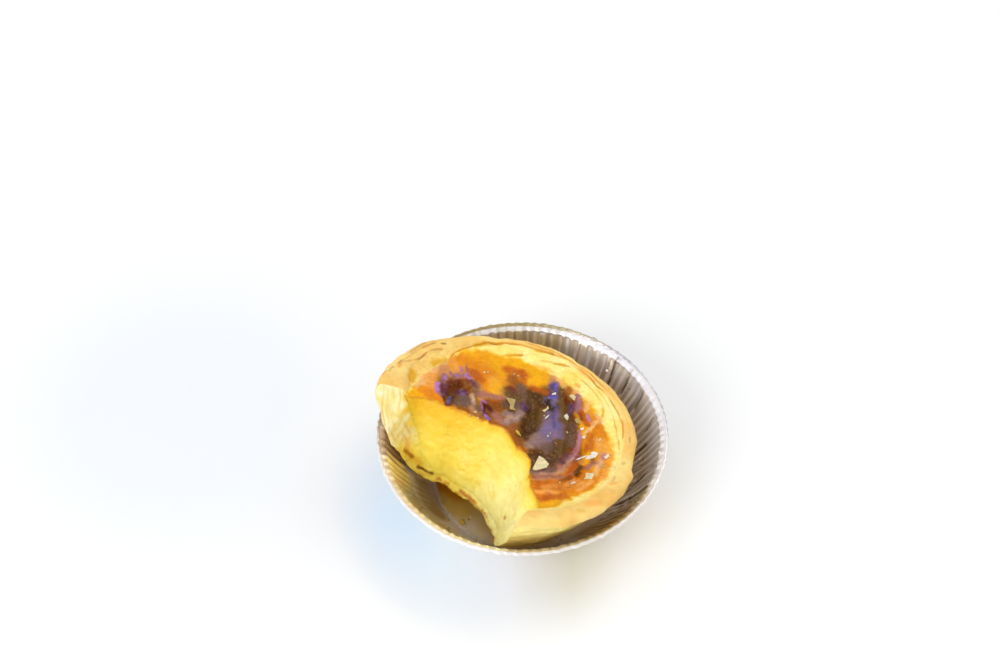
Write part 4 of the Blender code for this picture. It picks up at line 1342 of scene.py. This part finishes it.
def bite_radius(angle, height):
    """How far the bite reaches from its axis in this direction and at this height."""
    share = clamp(height / CUSTARD_LEVEL) ** BITE_CURVE
    radius = BITE_RADIUS_LOW + (BITE_RADIUS_HIGH - BITE_RADIUS_LOW) * share
    for at, low, high, start, half_width in TOOTH_MARKS:
        rise = clamp((height - start) / (TART_HEIGHT - start))
        radius += (low + (high - low) * rise) * bump(turn_between(angle, at), half_width)
    turn = np.radians(angle)
    ring = np.stack([np.cos(turn), np.sin(turn), np.zeros_like(turn)], -1)
    spot = ring * BITE_RADIUS_HIGH / (CRUMB_SIZE * 1.3)
    spot[:, 2] = height / CRUMB_SIZE
    radius += CRUMB_RELIEF * (1.4 * waves(spot, 1.0) + waves(spot, 1.0 / 2.3))
    radius += 0.08 * waves(spot, 1.0 / 5.0, 4.0) + 0.03 * waves(spot, 1.0 / 11.0, 6.0)
    radius += 0.5 * waves(spot, 1.0 / 2.2, 13.0) * bump(height - 0.5, 3.0)
    return radius + 0.30 * smooth((waves(spot, 1.0 / 2.6, 9.0) - 0.40) / 0.25)


def leaf_recess(x, y, z):
    """Where the bite has torn through the pastry, its leaves part in thin lines that follow the wall."""
    angle = np.degrees(np.arctan2(y, x))
    wander = 0.6 * waves(np.stack([x, y, z], -1), 4.0, 2.0)
    into = side_radius(clamp(z, 0.0, TART_HEIGHT)) - np.hypot(x, y) + wander
    lines = np.zeros_like(x)
    for number, at in enumerate(TORN_LEAVES):
        spot = np.stack([angle / 12.0, z / 5.0, np.full_like(x, number * 3.0)], -1)
        gap = clamp(0.35 + 1.5 * waves(spot, 1.0))
        lines = np.maximum(lines, gap * bump(into - at, 0.4))
    return lines * clamp(0.12 + bump(turn_between(angle, TORN_LEAVES_AT), 45.0)) * smooth((z - 4.0) / 4.0)


def bite_cutter(name, in_pastry):
    mesh = mesh_from(sleeve(BITE_COLUMNS, BITE_ROWS), name)
    angle, row = columns_and_rows(mesh, BITE_ROWS)
    height = -BITE_BELOW + (TART_HEIGHT + BITE_ABOVE + BITE_BELOW) * row / BITE_ROWS
    radius = bite_radius(angle, height)
    turn = np.radians(angle)
    if in_pastry:
        x = BITE_CENTRE[0] + radius * np.cos(turn)
        y = BITE_CENTRE[1] + radius * np.sin(turn)
        place = np.stack([x, y, height], -1)
        radius = radius + 0.02 + 0.3 * leaf_recess(x, y, height) + 0.06 * waves(place, 1.3, 7.0)
    move_points(mesh, BITE_CENTRE[0] + radius * np.cos(turn), BITE_CENTRE[1] + radius * np.sin(turn), height)
    mesh.polygons.foreach_set("material_index", [1] * len(mesh.polygons))
    return mesh


def bitten(mesh, finishes, in_pastry):
    """Cuts the bite away. The cut faces take the second finish."""
    cutter_mesh = bite_cutter("bite", in_pastry)
    for made in finishes:
        mesh.materials.append(made)
        cutter_mesh.materials.append(made)
    whole = bpy.data.objects.new("whole", mesh)
    cutter = bpy.data.objects.new("cutter", cutter_mesh)
    for part in (whole, cutter):
        bpy.context.scene.collection.objects.link(part)
    away = whole.modifiers.new("bite", "BOOLEAN")
    away.operation = "DIFFERENCE"
    away.object = cutter
    away.solver = "MANIFOLD"
    cut = bpy.data.meshes.new_from_object(whole.evaluated_get(bpy.context.evaluated_depsgraph_get()))
    for part, old in ((whole, mesh), (cutter, cutter_mesh)):
        bpy.data.objects.remove(part)
        bpy.data.meshes.remove(old)
    return cut


# The pastry case


def rim_rows():
    """(radius, height, distance along the section, and the section's outward normal) for the rim's rows."""
    line = rounded_line(RIM_SECTION, 3)
    steps = np.hypot(*np.diff(line, axis=0).T)
    along = np.concatenate([[0.0], np.cumsum(steps)])
    places = np.arange(0.0, along[-1], RIM_STEP)
    radius, height = (np.interp(places, along, line[:, axis]) for axis in (0, 1))
    run_r, run_z = np.gradient(radius), np.gradient(height)
    length = np.hypot(run_r, run_z)
    return np.stack([radius, height, places, run_z / length, -run_r / length], -1)


def pastry_rows():
    """The case's rows: foot, side, rim and inside. Off the rim the distance is 0 or the section's length."""
    side = [0.0, 0.15, 0.5, 1.0, 1.7, 2.5] + list(np.arange(3.0, 18.3, 0.5))
    rim = rim_rows()
    low = [(float(side_radius(np.array(z))), z, 0.0, 0.0, 0.0) for z in side]
    low[0] = (low[0][0], 0.0, 0.0, 0.0, 0.0)
    inside = (18.5, 16.0, 12.0, 8.0, 4.0, PASTRY_FLOOR)
    inner = [(float(inside_radius(np.array(z))), z, rim[-1, 2], 0.0, 0.0) for z in inside]
    return np.concatenate([low, rim, inner])


def leaves(x, y):
    """The rim's leaves seen from above: (relief in millimetres, how open the line between two leaves is)."""
    angle = np.degrees(np.arctan2(y, x))
    radius = np.hypot(x, y)
    height = np.zeros_like(angle)
    seam = np.zeros_like(angle)
    for number, (half_width, depth, line) in enumerate(LEAF_LINES):
        line_angle, line_radius = np.array(line).T
        in_line = smooth((angle - line_angle[0]) / 3.0) * smooth((line_angle[-1] - angle) / 3.0)
        wander = 0.18 * around(angle, 9.0, number) + 0.10 * around(angle, 24.0, number + 50.0)
        off = radius - np.interp(angle, line_angle, line_radius) - wander
        gape = in_line * clamp(0.75 + 0.9 * around(angle, 7.0, number + 100.0))
        height += gape * depth * (0.5 * bump(off - 0.5, 0.6) - bump(off, half_width))
        height += in_line * LEAF_LIFT * smooth(off / 0.4 + 0.5)
        seam = np.maximum(seam, gape * smooth(depth / 0.26) * bump(off, half_width))
    return height, seam


def skin_colour(x, y, z):
    above = z - SEEN_LEVEL
    seen_at = (x + SEEN_SHIFT[0] * above, y + SEEN_SHIFT[1] * above)
    near = warped(*warped(*seen_at, 2.2, 0.45, 41.0), 0.7, 0.28, 47.0)
    ground = blended(smooth(0.5 + 1.4 * waves(flat(x, y, 3.0), 8.0)), pigment("orange"), pigment("gold"))
    return stroked(*near, ground, SKIN_STROKES)


def side_colour(x, y, z):
    """The baked side: paler high up, browner at the foot and at the back; the front's paleness is partly
    painted light.
    """
    patch = waves(np.stack([x, y, z], -1), 6.0, 12.0)
    high = smooth((z - 3.0) / 13.0 + 0.3 * patch)
    front = blended(high, pigment("side_biscuit"), pigment("side_pale"))
    back = blended(high, pigment("side_tan"), pigment("side_wheat"))
    return blended(smooth((np.degrees(np.arctan2(y, x)) + 60.0) / 40.0), front, back)


def rim_strokes():
    """The rim's strokes laid out flat: along it in millimetres, and the radius."""
    along = RIM_MM_PER_DEGREE
    return [(name, first * along, from_radius, last * along, to_radius, half_width * 1.3, strength * 0.9)
            for name, first, from_radius, last, to_radius, half_width, strength in RIM_STROKES]


def top_colour(x, y, z):
    """What shows from above: the skin, then the creamy inner leaves, then the tan outer one."""
    angle = np.degrees(np.arctan2(y, x))
    radius = np.hypot(x, y)
    place = np.stack([x, y, np.zeros_like(x)], -1)
    patch = waves(place, 6.0, 12.0)
    fine = waves(place, 1.8, 15.0)
    outer = blended(clamp(0.45 + 0.9 * patch + 0.3 * fine), pigment("leaf_pale"), pigment("leaf_tan"))
    inner = blended(clamp(0.35 + 0.8 * patch + 0.3 * fine), pigment("leaf_cream"), pigment("leaf_gold"))
    leaf = blended(smooth((radius - np.interp(angle, *np.array(TAN_LEAF).T)) / 0.8 + 0.5), inner, outer)
    leaf = stroked(*warped(angle * RIM_MM_PER_DEGREE, radius, 1.6, 0.3, 71.0), leaf, rim_strokes())
    leaf = blended(0.9 * leaves(x, y)[1], leaf, pigment("leaf_line"))
    edge = np.interp(angle, *np.array(SKIN_EDGE).T) + 0.7 * fine
    return blended(smooth((radius - edge) / 1.4 + 0.5), skin_colour(x, y, z), leaf)


def pastry_case():
    rows = pastry_rows()
    mesh = mesh_from(sleeve(RIM_COLUMNS, len(rows) - 1), "pastry_case")
    angle, row = columns_and_rows(mesh, len(rows) - 1)
    radius, height, along, out_r, out_z = rows[row].T
    turn = np.radians(angle)
    leaf = leaves(*out_of_round(radius * np.cos(turn), radius * np.sin(turn), height)[:2])[0]
    on_rim = (out_r != 0.0) | (out_z != 0.0)
    fade = smooth((along - 2.0) / 0.6) * smooth((rows[-1, 2] - along) / 0.6)
    lift = smooth(along) * smooth((rows[-1, 2] - along) / 0.6) * RIM_WANDER * (
        1.2 * around(angle, 2.2, 66.0) + 0.8 * around(angle, 9.0, 110.0))
    on_side = (height > FOOT_ROUNDING) & (height < CUSTARD_LEVEL) & (along < 3.0)
    ring = np.stack([np.cos(turn) * 5.0, np.sin(turn) * 5.0, height * 0.5], -1)
    bulge = np.where(on_side, SIDE_UNEVENNESS * waves(ring, 1.0), 0.0)
    place = np.stack([radius * np.cos(turn), radius * np.sin(turn), height], -1)
    fine = np.where(along < rows[-1, 2], 0.14 * waves(place, 2.2, 21.0) + 0.04 * waves(place, 0.7, 23.0), 0.0)
    fine = fine * smooth(height / 1.0)
    radius = radius + out_r * (fade * leaf) + bulge + np.where(on_rim, out_r, 1.0) * fine
    height = height + out_z * (fade * leaf) + lift + np.where(on_rim, out_z, 0.0) * fine
    x, y, z = out_of_round(radius * np.cos(turn), radius * np.sin(turn), height)
    move_points(mesh, x, y, z)
    paint(mesh, blended(smooth((along - 1.6) / 1.6), side_colour(x, y, z), top_colour(x, y, z)))
    cut = bitten(mesh, (pastry_finish(), torn_pastry_finish()), in_pastry=True)
    paint_torn_pastry(cut)
    lean_into_tin(cut)
    case = piece_from(cut, "pastry_case", "pastry", "pastry_shell")
    cut.set_sharp_from_angle(angle=math.radians(SHARP_CORNER))
    return case


def touched(mesh):
    """Whether whole faces and whether cut faces touch each point."""
    index = np.empty(len(mesh.polygons), int)
    mesh.polygons.foreach_get("material_index", index)
    total = np.empty(len(mesh.polygons), int)
    mesh.polygons.foreach_get("loop_total", total)
    corner = np.empty(len(mesh.loops), int)
    mesh.loops.foreach_get("vertex_index", corner)
    by_kind = np.zeros((2, len(mesh.vertices)), bool)
    for kind in (0, 1):
        by_kind[kind, corner[np.repeat(index == kind, total)]] = True
    return by_kind


def flesh_colour(x, y, z):
    """The custard's inside: richest under the skin on the left, palest low on the right (partly painted
    light), with burnt marks.
    """
    place = np.stack([x, y, z], -1)
    cloudy = waves(place, 5.0, 61.0)
    across = (x - y) / 2.0
    # Paler low down and on the right: partly the custard's own tone, partly painted light on the bite
    pale = smooth((across + 9.0 + 5.0 * cloudy) / 18.0) * smooth((17.0 - z) / 14.0 + 0.5)
    colour = blended(pale, pigment("custard"), pigment("custard_pale_lit"))
    rich = smooth((z - 9.0) / 11.0) * smooth((2.0 - across + 4.0 * cloudy) / 16.0)
    colour = blended(0.85 * rich, colour, pigment("custard_rich"))
    crusty = bump(z, 0.9) * clamp(0.45 + 1.2 * waves(place, 2.4, 63.0))
    colour = blended(0.8 * crusty, colour, pigment("amber") * 0.8)
    for name, from_x, from_y, from_z, to_x, to_y, to_z, half_width, strength in TORN_MARKS:
        start = np.array([from_x, from_y, from_z])
        run = np.array([to_x, to_y, to_z]) - start
        along = clamp((place - start) @ run / (run @ run))
        off = np.linalg.norm(place - start - along[:, None] * run, axis=1) + 0.25 * waves(place, 0.8, 65.0)
        colour = blended(strength * bump(off, half_width), colour, pigment(name))
    return colour


def paint_torn_pastry(mesh):
    """The torn wall is creamy, with deeper lines between its leaves, and like the custard low down."""
    whole, torn = touched(mesh)
    x, y, z = points_of(mesh).T
    place = np.stack([x, y, z], -1)
    flesh = flesh_colour(x, y, z)
    patch = clamp(0.5 + 1.2 * waves(place, 2.2, 31.0))
    creamy = blended(patch, pigment("torn_cream"), pigment("torn_butter"))
    into = inside_radius(z) + wall_shift(np.degrees(np.arctan2(y, x))) - np.hypot(x, y)
    share = smooth((z - 5.0) / 7.0) * smooth((1.0 - into + 1.0 * waves(place, 2.0, 33.0)) / 2.2)
    colour = blended(share, flesh, creamy)
    lines = leaf_recess(x, y, z)
    colour = blended(0.8 * lines, colour, pigment("torn_line"))
    edge = torn & whole
    baked = blended(smooth((z - 19.5) / 1.5), side_colour(x, y, z), top_colour(x, y, z))
    baked = blended(1.0 - smooth(z / 1.2), baked, pigment("toffee"))
    colour = np.where((edge & (into < 0.5))[:, None], baked, colour)
    kept = np.empty(len(mesh.vertices) * 4)
    mesh.attributes["paint"].data.foreach_get("color", kept)
    paint(mesh, colour)
    values = np.empty(len(mesh.vertices) * 4)
    mesh.attributes["paint"].data.foreach_get("color", values)
    inside = (z > 1.8) & (z < 19.0) & (into > -0.6)
    values = np.where(np.repeat(torn | inside, 4), values, kept)
    mesh.attributes["paint"].data.foreach_set("color", values.astype(np.float32))


# The custard


def skin_height(x, y):
    """How far the skin stands above the custard's level."""
    place_x, place_y = warped(x, y, 2.6, 0.7, 1.0)
    total = np.zeros_like(x)
    for *line, height in RIDGES:
        total += height * streak_share(place_x, place_y, *line)
    for *arc, height in FOLDS:
        total += height * arc_share(place_x, place_y, *arc)
    for size, height in SKIN_WAVES:
        total += height * waves(flat(x / size, y / size, size), 1.0)
    out = np.hypot(x, y) - CUSTARD_EDGE_RADIUS
    climb = clamp((out + 1.4) / CLIMB_WIDTH)
    return total * clamp(-(out + 0.6) / SKIN_FADE_WIDTH) + CLIMB * climb ** 1.5 + climb * leaves(x, y)[0]


def disc_place(u, v):
    """Takes a square from -1 to 1 to a round disc of radius 1 with even cells."""
    wide = np.abs(u) > np.abs(v)
    first = np.where(wide, u, v)
    second = np.where(wide, v, u)
    turn = math.pi / 4.0 * second / np.where(np.abs(first) < 1e-9, 1.0, first)
    return np.where(wide, first * np.cos(turn), first * np.sin(turn)), np.where(
        wide, first * np.sin(turn), first * np.cos(turn))


def custard_body():
    """A disc of even cells for the skin, drawn down row by row to the custard's foot."""
    bm = bmesh.new()
    bmesh.ops.create_grid(bm, x_segments=SKIN_CELLS, y_segments=SKIN_CELLS, size=1.0)
    edge = [e for e in bm.edges if e.is_boundary]
    for _ in CUSTARD_ROWS[1:]:
        drawn = bmesh.ops.extrude_edge_only(bm, edges=edge)["geom"]
        edge = [e for e in drawn if isinstance(e, bmesh.types.BMEdge) and e.is_boundary]
        low = [v for v in drawn if isinstance(v, bmesh.types.BMVert)]
        bmesh.ops.translate(bm, vec=(0.0, 0.0, -1.0), verts=low)
    bmesh.ops.holes_fill(bm, edges=edge, sides=0)
    bmesh.ops.recalc_face_normals(bm, faces=bm.faces)
    mesh = mesh_from(bm, "custard_filling")
    u, v, row = points_of(mesh).T
    height = np.array(CUSTARD_ROWS)[np.rint(-row).astype(int)]
    x, y = disc_place(u, v)
    top = row > -0.5
    reach = inside_radius(height) + np.where(top, CLIMB, 0.1)
    x, y, _ = out_of_round(x * reach, y * reach, height)
    move_points(mesh, x, y, np.where(top, height + skin_height(x, y), height))
    return mesh


def custard_filling():
    mesh = bitten(custard_body(), (skin_finish(), custard_finish()), in_pastry=False)
    x, y, z = points_of(mesh).T
    place = np.stack([x, y, z], -1)
    skin = top_colour(x, y, z)
    below = CUSTARD_LEVEL + skin_height(x, y) - z
    dark = smooth((150.0 - skin.mean(axis=1)) / 60.0)
    thin = clamp(0.8 + 0.5 * waves(place, 2.0, 61.0))
    flesh = flesh_colour(x, y, z)
    flesh = blended(0.7 * bump(below, 3.0), flesh, pigment("under_skin"))
    flesh = blended((0.35 + 0.6 * dark) * bump(below, 1.2 * thin), flesh, pigment("under_burnt"))
    whole, cut_open = touched(mesh)
    paint(mesh, blended(1.0 * (cut_open & ~whole | (below > 0.35)), skin, flesh))
    store(mesh, "burnt", dark)
    lean_into_tin(mesh)
    filling = piece_from(mesh, "custard_filling", "custard", "custard")
    mesh.set_sharp_from_angle(angle=math.radians(SHARP_CORNER))
    return filling


# Flakes and crumbs


def skin_level(x, y):
    return CUSTARD_LEVEL + skin_height(np.atleast_1d(np.float64(x)), np.atleast_1d(np.float64(y)))


def flake(bm, outline, draw):
    """One thin scrap that half follows the skin under it and lifts a little at one side."""
    x, y = np.array(outline).T
    level = skin_level(x, y)
    tilt = draw.uniform(-FLAKE_TILT, FLAKE_TILT, 2)
    low = level.mean() * 0.5 + level * 0.5 + FLAKE_ABOVE_SKIN
    low = low + (x - x.mean()) * tilt[0] + (y - y.mean()) * tilt[1]
    low = np.maximum(low, level - FLAKE_BELOW_SKIN)
    under = [bm.verts.new(spot) for spot in zip(x, y, low)]
    face = bm.faces.new(under)
    grown = bmesh.ops.extrude_face_region(bm, geom=[face])["geom"]
    top = [g for g in grown if isinstance(g, bmesh.types.BMVert)]
    bmesh.ops.translate(bm, vec=(0.0, 0.0, FLAKE_THICKNESS), verts=top)
    return under + top


def crumb(bm, centre, size, draw):
    """One small lump with an uneven surface."""
    lump = bmesh.ops.create_icosphere(bm, subdivisions=2, radius=size / 2.0)["verts"]
    stretch = draw.uniform(0.7, 1.3, 3)
    seed = draw.uniform(0.0, 50.0)
    for vert in lump:
        vert.co = vert.co * (1.0 + 0.5 * noise.noise(vert.co / size * 2.2 + Vector((seed, 0.0, 0.0))))
        vert.co = Vector(vert.co[axis] * stretch[axis] for axis in range(3)) + Vector(centre)
    return lump


def whiten(mesh, whites):
    store(mesh, "white", whites)
    mesh.materials.append(crumb_finish())


def fallen_flakes():
    draw = np.random.default_rng(SEED + 1)
    bm = bmesh.new()
    whites = []
    for white, outline in FLAKES:
        whites += [white] * len(flake(bm, outline, draw))
    bm.verts.index_update()
    bmesh.ops.recalc_face_normals(bm, faces=bm.faces)
    mesh = mesh_from(bm, "fallen_flakes")
    whiten(mesh, whites)
    lean_into_tin(mesh)
    flakes = piece_from(mesh, "fallen_flakes", "pastry", "custard")
    mesh.shade_flat()
    return flakes


def crumbs():
    """Small crumbs on the skin, then those in the tin."""
    draw = np.random.default_rng(SEED + 2)
    on_skin = bmesh.new()
    whites = []
    for x, y, spread, count in SKIN_CRUMBS:
        for spot in draw.normal((x, y), spread / 2.0, (count, 2)):
            size = draw.uniform(0.25, 0.6)
            level = float(skin_level(*spot)[0])
            made = crumb(on_skin, (spot[0], spot[1], level + 0.1 * size), size, draw)
            whites += [draw.uniform(0.15, 0.6)] * len(made)
    mesh = mesh_from(on_skin, "crumbs_on_skin")
    lean_into_tin(mesh)
    whole = bmesh.new()
    whole.from_mesh(mesh)
    bpy.data.meshes.remove(mesh)
    in_tin = bmesh.new()
    for x, y, z, size, white in TIN_CRUMBS:
        whites += [white] * len(crumb(in_tin, (x, y, z), size, draw))
    mesh = mesh_from(in_tin, "crumbs")
    mesh.transform(Matrix.Scale(MM, 4))
    whole.from_mesh(mesh)
    whole.to_mesh(mesh)
    whole.free()
    whiten(mesh, whites)
    return piece_from(mesh, "crumbs", "pastry")


# The stage


def table():
    bm = bmesh.new()
    bmesh.ops.create_circle(bm, cap_ends=True, segments=64, radius=3.0)
    mesh = mesh_from(bm, "table")
    mesh.materials.append(table_finish())
    floor = bpy.data.objects.new("table", mesh)
    bpy.context.scene.collection.objects.link(floor)


def lamp(name, place, size, power, colour):
    data = bpy.data.lights.new(name, "AREA")
    data.shape = "DISK"
    data.size = size
    data.energy = power
    data.color = colour
    made = bpy.data.objects.new(name, data)
    made.location = place
    made.rotation_euler = (-Vector(place)).to_track_quat("-Z", "Y").to_euler()
    bpy.context.scene.collection.objects.link(made)


def sky():
    world = bpy.data.worlds.new("studio")
    bpy.context.scene.world = world
    world.use_nodes = True
    tree = world.node_tree
    place = add(tree, "ShaderNodeTexCoord").outputs["Generated"]
    up = add(tree, "ShaderNodeSeparateXYZ", {"Vector": place}).outputs["Z"]
    colour = shades(tree, up, (
        (0.0, (0.72, 0.67, 0.66, 1.0)),
        (0.30, (0.78, 0.75, 0.76, 1.0)),
        (0.60, (0.84, 0.87, 0.92, 1.0)),
        (1.0, (0.86, 0.89, 0.94, 1.0)),
    ))
    tree.links.new(colour, tree.nodes["Background"].inputs["Color"])
    tree.nodes["Background"].inputs["Strength"].default_value = 0.92


def camera():
    data = bpy.data.cameras.new("camera")
    data.lens = LENS_MM
    data.sensor_width = SENSOR_MM
    made = bpy.data.objects.new("camera", data)
    made.location = CAMERA_PLACE
    made.rotation_euler = (math.radians(90.0 - CAMERA_DOWN), 0.0, 0.0)
    bpy.context.scene.collection.objects.link(made)
    bpy.context.scene.camera = made


bpy.context.scene.view_settings.view_transform = "Standard"
camera()
sky()
lamp("warm_side", (0.60, 0.50, 0.90), 0.9, 3.2, (1.0, 0.95, 0.86))
lamp("front", (-0.55, -0.60, 0.50), 0.7, 4.2, (1.0, 0.99, 0.97))
table()
foil_cup()
pastry_case()
custard_filling()
fallen_flakes()
crumbs()
